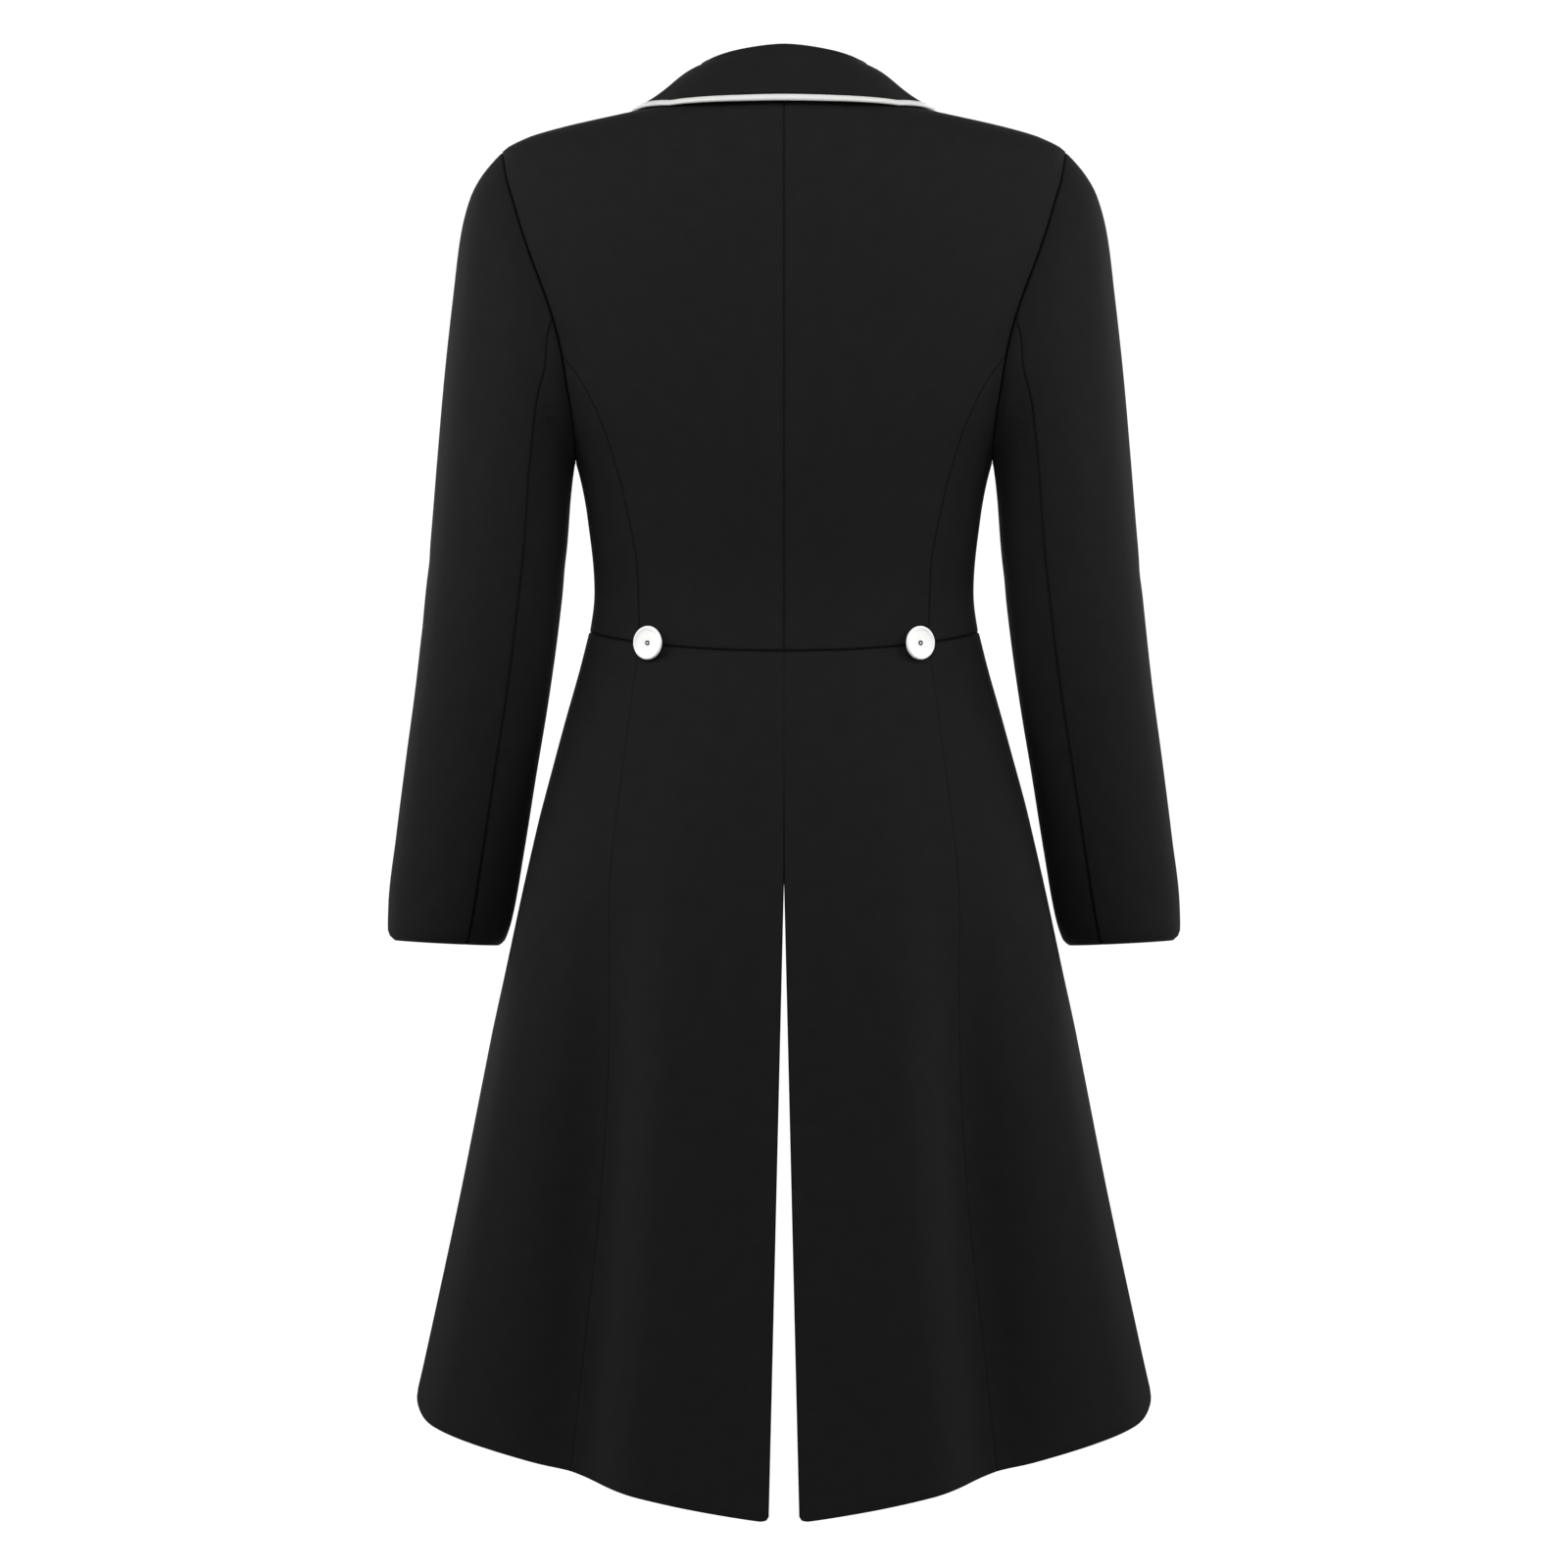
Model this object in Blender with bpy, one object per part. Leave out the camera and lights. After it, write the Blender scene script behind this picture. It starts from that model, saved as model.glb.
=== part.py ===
"""Dressage tailcoat on a general figure: hollow worn cloth, cut into the pieces a maker would sew.

Sizes below are millimetres; the meshes are made in metres. +Z is up, the front faces -Y and the
wearer's left is +X. The origin is midway between the shoulders at the height of the shoulder line.
"""
import math
from collections import namedtuple

import bmesh
import bpy
import numpy as np

METRES = 0.001

# Cloth and sewing
WALL = 2.0
SEAM = 0.3
LAYER = 1.2
BUTTON_DIAMETER = 24.4
BUTTON_THICKNESS = 3.6
BUTTON_SHANK = 0.5
PIPING_HEIGHT = 5.2
PIPING_DEPTH = 3.6

# Heights that set the cut
NAPE = 24.0
NECK_POINT = 21.0
SHOULDER_TIP = -22.0
UNDERARM = -250.0
SIDE_BACK_START = -174.0
WAIST_SIDE = -374.5
WAIST_BACK = -389.5
VENT_TOP = -549.0
HEM_BACK = -1013.0
BREAK_POINT = -205.0
FRONT_HEM = -424.0

# Horizontal sections of the body, neck to front hem
Section = namedtuple("Section", "height half_width back front back_square front_square")
BODY = [
    Section(24, 72, 57, 44, 2.00, 2.00),
    Section(12, 90, 62, 50, 2.05, 2.00),
    Section(6.5, 116.5, 65, 54, 2.00, 1.90),
    Section(-5, 168, 71, 63, 1.85, 1.80),
    Section(-11.5, 189, 75, 68, 1.85, 1.80),
    Section(-22, 207, 80, 76, 1.95, 1.90),
    Section(-50, 216, 89, 92, 2.20, 2.10),
    Section(-80, 214, 95, 105, 2.40, 2.20),
    Section(-114, 208, 98, 116, 2.50, 2.30),
    Section(-150, 198, 99, 123, 2.50, 2.35),
    Section(-190, 183, 98, 126, 2.50, 2.40),
    Section(-220, 168, 96, 124, 2.45, 2.40),
    Section(-250, 153, 93, 118, 2.35, 2.35),
    Section(-290, 144.5, 87, 107, 2.25, 2.30),
    Section(-345, 139.3, 81, 97, 2.20, 2.25),
    Section(-380, 143.6, 84, 97, 2.20, 2.25),
    Section(-440, 160.0, 100, 103, 2.20, 2.25),
]

# Horizontal sections of the skirt, waist to hem
SKIRT = [
    Section(-370, 142.0, 81.5, 97, 2.20, 2.25),
    Section(-400, 149.5, 89, 99, 2.20, 2.20),
    Section(-443, 161.6, 102, 103, 2.20, 2.20),
    Section(-486, 172.8, 113, 108, 2.20, 2.10),
    Section(-551, 187.6, 126, 114, 2.25, 2.10),
    Section(-637, 205.6, 138, 122, 2.30, 2.10),
    Section(-767, 235.0, 150, 134, 2.35, 2.10),
    Section(-896, 268.0, 161, 146, 2.40, 2.10),
    Section(-1020, 299.0, 170, 156, 2.40, 2.10),
]

# Side-back seam and the pleat line below it, as half distances across the back
SeamPoint = namedtuple("SeamPoint", "height across")
SIDE_BACK = [
    SeamPoint(-174, 162.0),
    SeamPoint(-194, 147.0),
    SeamPoint(-241, 126.5),
    SeamPoint(-287, 114.2),
    SeamPoint(-330, 106.8),
    SeamPoint(-383, 105.0),
]
PLEAT = [
    SeamPoint(-383, 105.0),
    SeamPoint(-455, 115.5),
    SeamPoint(-570, 132.5),
    SeamPoint(-720, 140.5),
    SeamPoint(-980, 163.0),
]
PLEAT_DEPTH = 29.0
PLEAT_ROLL = 64.0
PLEAT_SPREAD = 95.0
VENT_HALF_GAP = 11.0
VENT_CORNER = 4.0

# Hem height against the distance across, from the vent to the front edge
HEM = [
    SeamPoint(-1013.5, 12),
    SeamPoint(-1003.8, 61),
    SeamPoint(-992.5, 113),
    SeamPoint(-988.8, 130),
    SeamPoint(-983.6, 153),
    SeamPoint(-980.2, 166),
    SeamPoint(-976.2, 185),
    SeamPoint(-971.6, 201),
    SeamPoint(-959.4, 236),
    SeamPoint(-945.8, 268),
]
HEM_CORNER_WIDTH = 38.0
HEM_CORNER_RISE = 20.5
TAIL_FRONT_TOP = 128.0
TAIL_FRONT_FOOT = 74.0

# Armhole, an egg seen from the side
ARMHOLE_BACK = 64.0
ARMHOLE_FRONT = 60.0
ARMHOLE_SKEW = 0.15

# Side seam, as an angle round the body from the centre back
SIDE_SEAM = math.radians(104)
UNDERARM_SEAM = math.radians(-104)

# How far the sleeve seams swing inward below the armhole, as an angle round the sleeve
SLEEVE_SWING = 0.31
ELBOW_SEAM_TOP = -148.0
FORE_SEAM_TOP = -175.0

# Sleeve rings: outer and inner edge seen from the back, depth, and how far the middle lies back
Ring = namedtuple("Ring", "outer_x outer_z inner_x inner_z half_depth middle")
SLEEVE = [
    Ring(213.5, -29.0, 153.6, -252.0, 64.0, 2.0),
    Ring(221.0, -38.2, 153.9, -254.0, 65.5, 2.0),
    Ring(229.2, -52.5, 154.2, -256.0, 66.0, 2.0),
    Ring(236.9, -80.0, 154.5, -258.5, 65.5, 2.5),
    Ring(243.0, -128.0, 154.9, -261.5, 64.0, 3.0),
    Ring(249.5, -188.0, 155.4, -266.0, 62.0, 3.5),
    Ring(254.5, -246.0, 156.4, -276.0, 60.5, 4.5),
    Ring(259.0, -302.0, 159.0, -312.0, 57.0, 6.0),
    Ring(264.5, -360.0, 165.3, -372.0, 53.5, 6.5),
    Ring(270.5, -414.0, 172.9, -426.0, 50.0, 4.0),
    Ring(278.0, -468.0, 182.0, -480.0, 47.0, -2.0),
    Ring(285.5, -524.0, 191.0, -535.0, 44.5, -11.0),
    Ring(291.8, -576.0, 200.5, -586.0, 42.0, -21.0),
    Ring(292.3, -592.5, 203.8, -596.5, 41.3, -24.0),
    Ring(290.6, -598.3, 206.6, -602.2, 40.2, -25.2),
    Ring(286.8, -601.6, 211.0, -605.4, 38.6, -26.0),
]

# Collar stations from the centre back to the front end: fold line and edge of the fall
Station = namedtuple("Station", "fold_x fold_y fold_z edge_x edge_y edge_z")
COLLAR = [
    Station(0, 50, 53, 0, 68, 16.2),
    Station(36.5, 38, 49.5, 40, 64, 15.5),
    Station(54, 17, 45.4, 74, 48, 14.2),
    Station(60.2, -4, 43.2, 100, 12, 10.8),
    Station(61, -34, 30, 108, -28, 3.0),
    Station(57, -62, 4, 107, -62, -20.0),
    Station(51, -85, -25, 100, -85, -47.0),
]
COLLAR_FOLD = 3.6
COLLAR_FREE = 32.0
COLLAR_FREE_RUN = 12.0
COLLAR_SHOULDER = 1.0
COLLAR_PUFF = 26.0
COLLAR_FOOT = -28.0
COLLAR_CLEAR = 4.4

# Front edge, seen from the front
ROLL_TOP = SeamPoint(19.0, 72.0)
ROLL_BEND = 60.0
FRONT_LAP = 20.0
LAP_START = 80.0
LAP_FULL = 22.0
LAP_TOP = -30.0
LAP_RUN = 140.0
FRONT_POINT_ROUNDING = 6.0

# Lapel: width across from the roll line against the share of the roll line's length
LapelRow = namedtuple("LapelRow", "share width")
LAPEL = [
    LapelRow(0.0, 56.0),
    LapelRow(0.14, 66.0),
    LapelRow(0.45, 50.0),
    LapelRow(0.75, 27.0),
    LapelRow(1.0, 6.0),
]
LAPEL_WALL = 1.6
LAPEL_GAP = 1.6
LAPEL_SLANT = 0.55
FACING_DEPTH = 10.0
FACING_END = -280.0
FACING_FADE = 65.0
TUCK = 6.5

BACK_BUTTON_ACROSS = 95.8
BUTTON_LEAN = 0.16
FRONT_BUTTONS = [-226.0, -290.0, -354.0]

# How finely each piece is divided
RIDGE_ROWS = [NECK_POINT, 13.0, 6.5, 0.5, -5.5, -12.0]
BACK_ARMHOLE_ROWS = 9
FRONT_ARMHOLE_ROWS = 9
LOW_ROWS = 9
BACK_COLUMNS = 8
SIDE_COLUMNS = 7
FRONT_COLUMNS = 12
FRONT_WAIST_COLUMNS = 3
TAIL_ROWS = 15
TAIL_BACK_COLUMNS = 10
TAIL_SIDE_COLUMNS = 14
COLLAR_HALF = 14
LAPEL_ROWS = 13
PIPING_SIDES = 8
BUTTON_SIDES = 24

Look = namedtuple("Look", "colour roughness metallic")
BLACK_CLOTH = Look((0.016, 0.016, 0.017), 0.85, 0.0)
WHITE_CORD = Look((0.80, 0.80, 0.79), 0.45, 0.0)
WHITE_BUTTON = Look((0.86, 0.86, 0.85), 0.3, 0.0)


# Interpolation

def smooth_curve(places, values):
    """Return a function through the given values that never overshoots them."""
    order = np.argsort(places)
    x = np.asarray(places, float)[order]
    y = np.asarray(values, float)[order]
    step = np.diff(x)
    rise = np.diff(y) / step
    slope = np.zeros_like(y)
    slope[0] = rise[0]
    slope[-1] = rise[-1]
    for i in range(1, len(x) - 1):
        if rise[i - 1] * rise[i] > 0:
            before = 2 * step[i] + step[i - 1]
            after = step[i] + 2 * step[i - 1]
            slope[i] = (before + after) / (before / rise[i - 1] + after / rise[i])

    def value(place):
        place = np.clip(np.asarray(place, float), x[0], x[-1])
        i = np.clip(np.searchsorted(x, place) - 1, 0, len(x) - 2)
        t = (place - x[i]) / step[i]
        return (
            y[i] * (1 + 2 * t) * (1 - t) ** 2
            + slope[i] * step[i] * t * (1 - t) ** 2
            + y[i + 1] * t * t * (3 - 2 * t)
            + slope[i + 1] * step[i] * t * t * (t - 1)
        )

    return value


def columns(table, key):
    """Return one smooth function for each other column of a table, by its key column."""
    places = [getattr(row, key) for row in table]
    return {
        name: smooth_curve(places, [getattr(row, name) for row in table])
        for name in table[0]._fields
        if name != key
    }


def ease(t):
    """Return a soft step from 0 to 1."""
    t = np.clip(t, 0.0, 1.0)
    return t * t * (3 - 2 * t)


body_section = columns(BODY, "height")
skirt_section = columns(SKIRT, "height")
side_back_across = columns(SIDE_BACK, "height")["across"]
pleat_across = columns(PLEAT, "height")["across"]
hem_height = columns(HEM, "across")["height"]
lapel_width = columns(LAPEL, "share")["width"]


# Body and skirt surfaces, by the angle from the centre back and the height

def section_point(section, angle, height):
    """Return the point of a rounded section; 0 is the centre back and 90 degrees the side."""
    angle = np.asarray(angle, float)
    height = np.asarray(height, float)
    behind = np.cos(angle) >= 0
    square = np.where(behind, section["back_square"](height), section["front_square"](height))
    depth = np.where(behind, section["back"](height), section["front"](height))
    x = section["half_width"](height) * np.sign(np.sin(angle)) * np.abs(np.sin(angle)) ** (2 / square)
    y = depth * np.sign(np.cos(angle)) * np.abs(np.cos(angle)) ** (2 / square)
    return np.stack(np.broadcast_arrays(x, y, height), axis=-1)


def angle_across(section, across, height, behind=True):
    """Return the angle at which a section is this far from the centre line."""
    square = section["back_square" if behind else "front_square"](height)
    share = np.asarray(across, float) / section["half_width"](height)
    angle = np.arcsin(np.sign(share) * np.clip(np.abs(share), 0, 1) ** (square / 2))
    return angle if behind else math.pi - angle


def angle_deep(section, depth, height):
    """Return the angle at which a section is this far behind (or in front of) its middle."""
    behind = depth >= 0
    square = section["back_square" if behind else "front_square"](height)
    reach = section["back" if behind else "front"](height)
    share = np.clip(abs(depth) / reach, 0, 1) ** (square / 2)
    return math.acos(share if behind else -share)


def body(angle, height):
    """Return the body's outer surface."""
    return section_point(body_section, angle, height)


def distance_off(section, points):
    """Return about how far points lie outside a surface, and the way that leads away from it."""

    def reach(p):
        x, y, z = np.moveaxis(np.abs(p), -1, 0)
        z = p[..., 2]
        behind = p[..., 1] >= 0
        square = np.where(behind, section["back_square"](z), section["front_square"](z))
        depth = np.where(behind, section["back"](z), section["front"](z))
        return ((x / section["half_width"](z)) ** square + (y / depth) ** square) ** (1 / square)

    step = 0.2
    slope = [(reach(points + step * axis) - reach(points - step * axis)) / (2 * step) for axis in np.eye(3)]
    slope = np.stack(slope, axis=-1)
    steep = np.maximum(np.linalg.norm(slope, axis=-1), 1e-6)
    return (reach(points) - 1) / steep, slope / steep[..., None]


def waist_height(angle):
    """Return the height of the waist seam, which dips at the centre back."""
    return WAIST_SIDE + (WAIST_BACK - WAIST_SIDE) * np.clip(np.cos(angle), 0, 1) ** 1.6


def skirt(angle, height):
    """Return the skirt's surface with the soft pleat below each waist button."""
    flat = section_point(skirt_section, angle, height)
    step = 1e-3
    along = section_point(skirt_section, angle + step, height) - section_point(
        skirt_section, angle - step, height
    )
    pace = np.linalg.norm(along, axis=-1) / (2 * step)
    inward = np.stack([along[..., 1], -along[..., 0], np.zeros_like(pace)], axis=-1)
    inward = -inward / np.maximum(np.linalg.norm(inward, axis=-1, keepdims=True), 1e-9)
    inward = inward * np.where((inward * flat).sum(-1, keepdims=True) > 0, -1, 1)
    past = (angle - angle_across(skirt_section, pleat_across(height), height)) * pace
    share = np.where(past > 0, 1 - ease(past / PLEAT_SPREAD), 1 - ease(-past / PLEAT_ROLL))
    fall = np.clip((WAIST_SIDE - height) / (WAIST_SIDE - HEM_BACK), 0, 1)
    depth = PLEAT_DEPTH * ease(fall * 1.4) * share
    return flat + inward * depth[..., None]


# Walls made from grids of points

def unit(vectors):
    return vectors / np.maximum(np.linalg.norm(vectors, axis=-1, keepdims=True), 1e-12)


def surface_normals(surface, angle, height):
    """Return the outward normals of a surface given by angle and height."""
    turn = surface(angle + 2e-3, height) - surface(angle - 2e-3, height)
    drop = surface(angle, height - 0.3) - surface(angle, height + 0.3)
    return unit(np.cross(turn, drop))


def grid_normals(points):
    """Return the normals of a grid of points, from its own rows and columns."""
    down = np.gradient(points, axis=0)
    across = np.gradient(points, axis=1)
    return unit(np.cross(down, across))


def pull_in(points, gaps):
    """Move the edges of a grid (first row, last row, first column, last column) inward."""
    moved = points.copy()
    edges = [(0, 1, 0), (-1, -2, 0), (0, 1, 1), (-1, -2, 1)]
    for (edge, beside, axis), gap in zip(edges, gaps):
        here = np.take(points, edge, axis=axis)
        toward = unit(np.take(points, beside, axis=axis) - here) * gap
        if axis == 0:
            moved[edge] += toward
        else:
            moved[:, edge] += toward
    return moved


def make_object(name, points, faces, look):
    """Make one closed object, with its faces outward, from points in millimetres."""
    mesh = bpy.data.meshes.new(name)
    build = bmesh.new()
    corners = [build.verts.new([float(c) * METRES for c in p]) for p in points]
    for face in faces:
        build.faces.new([corners[i] for i in face])
    bmesh.ops.triangulate(build, faces=build.faces)
    bmesh.ops.recalc_face_normals(build, faces=build.faces)
    if build.calc_volume(signed=True) < 0:
        bmesh.ops.reverse_faces(build, faces=build.faces)
    build.to_mesh(mesh)
    build.free()
    material = bpy.data.materials.new(name)
    material.use_nodes = True
    shader = material.node_tree.nodes["Principled BSDF"]
    shader.inputs["Base Color"].default_value = (*look.colour, 1.0)
    shader.inputs["Roughness"].default_value = look.roughness
    shader.inputs["Metallic"].default_value = look.metallic
    mesh.materials.append(material)
    made = bpy.data.objects.new(name, mesh)
    bpy.context.collection.objects.link(made)
    return made


def make_wall(name, outer, normals, gaps, side=1, wall=WALL, look=BLACK_CLOTH):
    """Make a wall of cloth under a grid of outer points, drawn back at its seams."""
    inner = outer - normals * wall
    skins = [pull_in(outer, gaps), pull_in(inner, gaps)]
    rows, cols = outer.shape[:2]
    points = np.concatenate([skin.reshape(-1, 3) for skin in skins]) * [side, 1, 1]
    count = rows * cols

    def place(skin, row, col):
        return skin * count + row * cols + col

    faces = []
    for skin in (0, 1):
        for i in range(rows - 1):
            for j in range(cols - 1):
                faces.append([place(skin, *c) for c in ((i, j), (i + 1, j), (i + 1, j + 1), (i, j + 1))])
    rim = [(0, j) for j in range(cols)] + [(i, cols - 1) for i in range(1, rows)]
    rim += [(rows - 1, j) for j in range(cols - 2, -1, -1)] + [(i, 0) for i in range(rows - 2, 0, -1)]
    for here, beyond in zip(rim, rim[1:] + rim[:1]):
        faces.append([place(0, *here), place(0, *beyond), place(1, *beyond), place(1, *here)])
    return make_object(name, points, faces, look)


# Lines that several pieces share

def armhole_point(turn):
    """Return (angle, height) on the armhole; turn is -90 at the underarm and 90 at the tip."""
    middle = (SHOULDER_TIP + UNDERARM) / 2
    half = (SHOULDER_TIP - UNDERARM) / 2
    height = middle + half * math.sin(turn)
    reach = ARMHOLE_BACK if math.cos(turn) >= 0 else ARMHOLE_FRONT
    depth = reach * math.cos(turn) * (1 - ARMHOLE_SKEW * math.sin(turn))
    return angle_deep(body_section, depth, height), height


def armhole_turn(height):
    """Return the turn at which the back of the armhole has this height."""
    middle = (SHOULDER_TIP + UNDERARM) / 2
    half = (SHOULDER_TIP - UNDERARM) / 2
    return math.asin((height - middle) / half)


back_turns = np.linspace(math.pi / 2, armhole_turn(SIDE_BACK_START), BACK_ARMHOLE_ROWS)
side_turns = np.linspace(armhole_turn(SIDE_BACK_START), UNDERARM_SEAM, SIDE_COLUMNS)
front_turns = np.linspace(UNDERARM_SEAM, math.radians(-270), FRONT_ARMHOLE_ROWS)
SIDE_SEAM_TOP = armhole_point(side_turns[-1])


def side_back_line():
    """Return (angle, height) down the side-back seam."""
    foot = waist_height(angle_across(body_section, SIDE_BACK[-1].across, SIDE_BACK[-1].height))
    heights = np.linspace(SIDE_BACK_START, foot, LOW_ROWS)
    line = [armhole_point(back_turns[-1])]
    for height in heights[1:]:
        line.append((float(angle_across(body_section, side_back_across(height), height)), height))
    return line


def side_line():
    """Return (angle, height) down the side seam."""
    start, top = SIDE_SEAM_TOP
    foot = waist_height(SIDE_SEAM)
    shares = np.linspace(0, 1, LOW_ROWS)
    return [(start + (SIDE_SEAM - start) * ease(s), top + (foot - top) * s) for s in shares]


def patch(left, right, top=None, bottom=None):
    """Return angles and heights of a grid between edge lines, given as lists of (angle, height)."""
    left = np.asarray(left, float)
    right = np.asarray(right, float)
    count = len(top) if top is not None else len(bottom)
    across = np.linspace(0, 1, count)[None, :, None]
    grid = left[:, None] * (1 - across) + right[:, None] * across
    down = np.linspace(0, 1, len(left))[:, None, None]
    if top is not None:
        grid = grid + (np.asarray(top, float) - grid[0])[None] * (1 - down)
    if bottom is not None:
        grid = grid + (np.asarray(bottom, float) - grid[-1])[None] * down ** 2
    return grid[..., 0], grid[..., 1]


def waist_line(start, stop, count):
    return [(a, float(waist_height(a))) for a in np.linspace(start, stop, count)]


# Body panels

def make_back(side, tag):
    ridge = [(math.pi / 2, h) for h in RIDGE_ROWS]
    outside = ridge + [armhole_point(t) for t in back_turns] + side_back_line()[1:]
    heights = np.array([h for _, h in outside])
    fade = np.clip((heights + 150) / (NECK_POINT + 150), 0, 1)
    low = np.clip((heights - SIDE_BACK_START) / (outside[-1][1] - SIDE_BACK_START), 0, 1)
    centre = heights + (NAPE - NECK_POINT) * fade ** 2
    centre = centre + (WAIST_BACK - outside[-1][1]) * low ** 2
    inside = [(0.0, h) for h in centre]
    bottom = waist_line(0.0, outside[-1][0], BACK_COLUMNS)
    angles, levels = patch(inside, outside, bottom=bottom)
    outer = body(angles, levels)
    gaps = (0.0, SEAM / 2, SEAM / 2, SEAM / 2)
    make_wall("back_" + tag, outer, surface_normals(body, angles, levels), gaps, side)


def make_side(side, tag):
    left = side_back_line()
    right = side_line()
    top = [armhole_point(t) for t in side_turns]
    bottom = waist_line(left[-1][0], right[-1][0], SIDE_COLUMNS)
    angles, levels = patch(left, right, top, bottom)
    outer = body(angles, levels)
    make_wall("side_" + tag, outer, surface_normals(body, angles, levels), (SEAM / 2,) * 4, side)


def front_edge_across(height):
    """Return where the front edge lies, from the neck down the roll line to the lap."""
    slope = (ROLL_TOP.across + FRONT_LAP) / (ROLL_TOP.height - BREAK_POINT)
    straight = ROLL_TOP.across - slope * (ROLL_TOP.height - height)
    gap = straight + FRONT_LAP
    return -FRONT_LAP + 0.5 * (gap + np.sqrt(gap * gap + ROLL_BEND))


def front_lap(angle, height, over):
    """Return how far the lapped front stands off, clear of the other front and its lapel."""
    if not over:
        return np.zeros(np.broadcast(angle, height).shape)
    across = body(angle, height)[..., 0]
    below_neck = ease((LAP_TOP - height) / LAP_RUN)
    facing = (LAPEL_WALL + LAPEL_GAP) * ease((height - FACING_END) / FACING_FADE)
    off = WALL + LAYER + facing
    return off * below_neck * ease((LAP_START - across) / (LAP_START - LAP_FULL))


def front_surface(over):
    """Return the surface of one front by angle and height."""

    def surface(angle, height):
        angle = np.asarray(angle, float)
        height = np.asarray(height, float)
        off = front_lap(angle, height, over)
        return body(angle, height) + surface_normals(body, angle, height) * off[..., None]

    return surface


def front_hem(angle):
    """Return the height of the front's lower edge, which dips to a soft point in front."""
    start = math.radians(TAIL_FRONT_TOP + 0.6)
    past = np.clip((angle - start) / (math.pi - start), 0, 1)
    return WAIST_SIDE + (FRONT_HEM - WAIST_SIDE) * np.sin(math.pi / 2 * past) ** 1.4


def make_front(side, tag, over):
    ridge = [(math.pi / 2, h) for h in RIDGE_ROWS]
    outside = ridge + [armhole_point(t) for t in front_turns[::-1]] + side_line()[1:]
    heights = np.array([h for _, h in outside])
    low = np.clip((heights - UNDERARM) / (WAIST_SIDE - UNDERARM), 0, 1)
    levels = heights + (FRONT_HEM + FRONT_POINT_ROUNDING - WAIST_SIDE) * low
    inside = []
    for level in levels:
        across = front_edge_across(level)
        inside.append((float(angle_across(body_section, across, level, behind=False)), level))
    tail_front = math.radians(TAIL_FRONT_TOP + 0.6)
    free = np.linspace(inside[-1][0], tail_front, FRONT_COLUMNS - FRONT_WAIST_COLUMNS)
    sewn = np.linspace(tail_front, outside[-1][0], FRONT_WAIST_COLUMNS + 1)
    bottom_angles = np.concatenate([free, sewn[1:]])
    corner = np.array([FRONT_POINT_ROUNDING] + [0.0] * (FRONT_COLUMNS - 1))
    bottom = [(a, float(front_hem(a)) + c) for a, c in zip(bottom_angles, corner)]
    angles, grid = patch(inside, outside, bottom=bottom)
    surface = front_surface(over)
    outer = surface(angles, grid)
    normals = surface_normals(surface, angles, grid)
    make_wall("front_" + tag, outer, normals, (0.0, SEAM / 2, 0.0, SEAM / 2), side)


# Tails

def vent_across(height):
    """Return how far the back edge of the tail lies from the centre line."""
    open_share = np.clip((VENT_TOP - height) / (VENT_TOP - HEM_BACK), 0, 1)
    return VENT_HALF_GAP * open_share


def tail_grid(top_angles, foot_heights, line_at):
    """Return angles and heights from the waist seam to the hem; line_at gives each row's angles."""
    rows = np.linspace(0, 1, TAIL_ROWS) ** 1.15
    angles = np.zeros((TAIL_ROWS, len(top_angles)))
    levels = np.zeros_like(angles)
    for i, down in enumerate(rows):
        top = waist_height(top_angles)
        levels[i] = top + (foot_heights - top) * down
        angles[i] = line_at(down, levels[i])
    return angles, levels


def make_tail_back(side, tag):
    shares = np.concatenate([[0, 0.03], np.linspace(0.14, 0.86, TAIL_BACK_COLUMNS - 4), [0.94, 1.0]])

    def line_at(down, levels):
        inner = angle_across(skirt_section, vent_across(levels[0]), levels[0])
        outer = angle_across(skirt_section, pleat_across(levels[-1]), levels[-1])
        return inner + (outer - inner) * shares

    pleat_top = angle_across(skirt_section, PLEAT[0].across, PLEAT[0].height)
    across = VENT_HALF_GAP + (PLEAT[-1].across - VENT_HALF_GAP) * shares
    foot = hem_height(across)
    foot[0] += VENT_CORNER
    angles, levels = tail_grid(pleat_top * shares, foot, line_at)
    outer = skirt(angles, levels)
    gaps = (SEAM / 2, 0.0, SEAM / 2, SEAM / 2)
    make_wall("tail_back_" + tag, outer, surface_normals(skirt, angles, levels), gaps, side)


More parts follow.
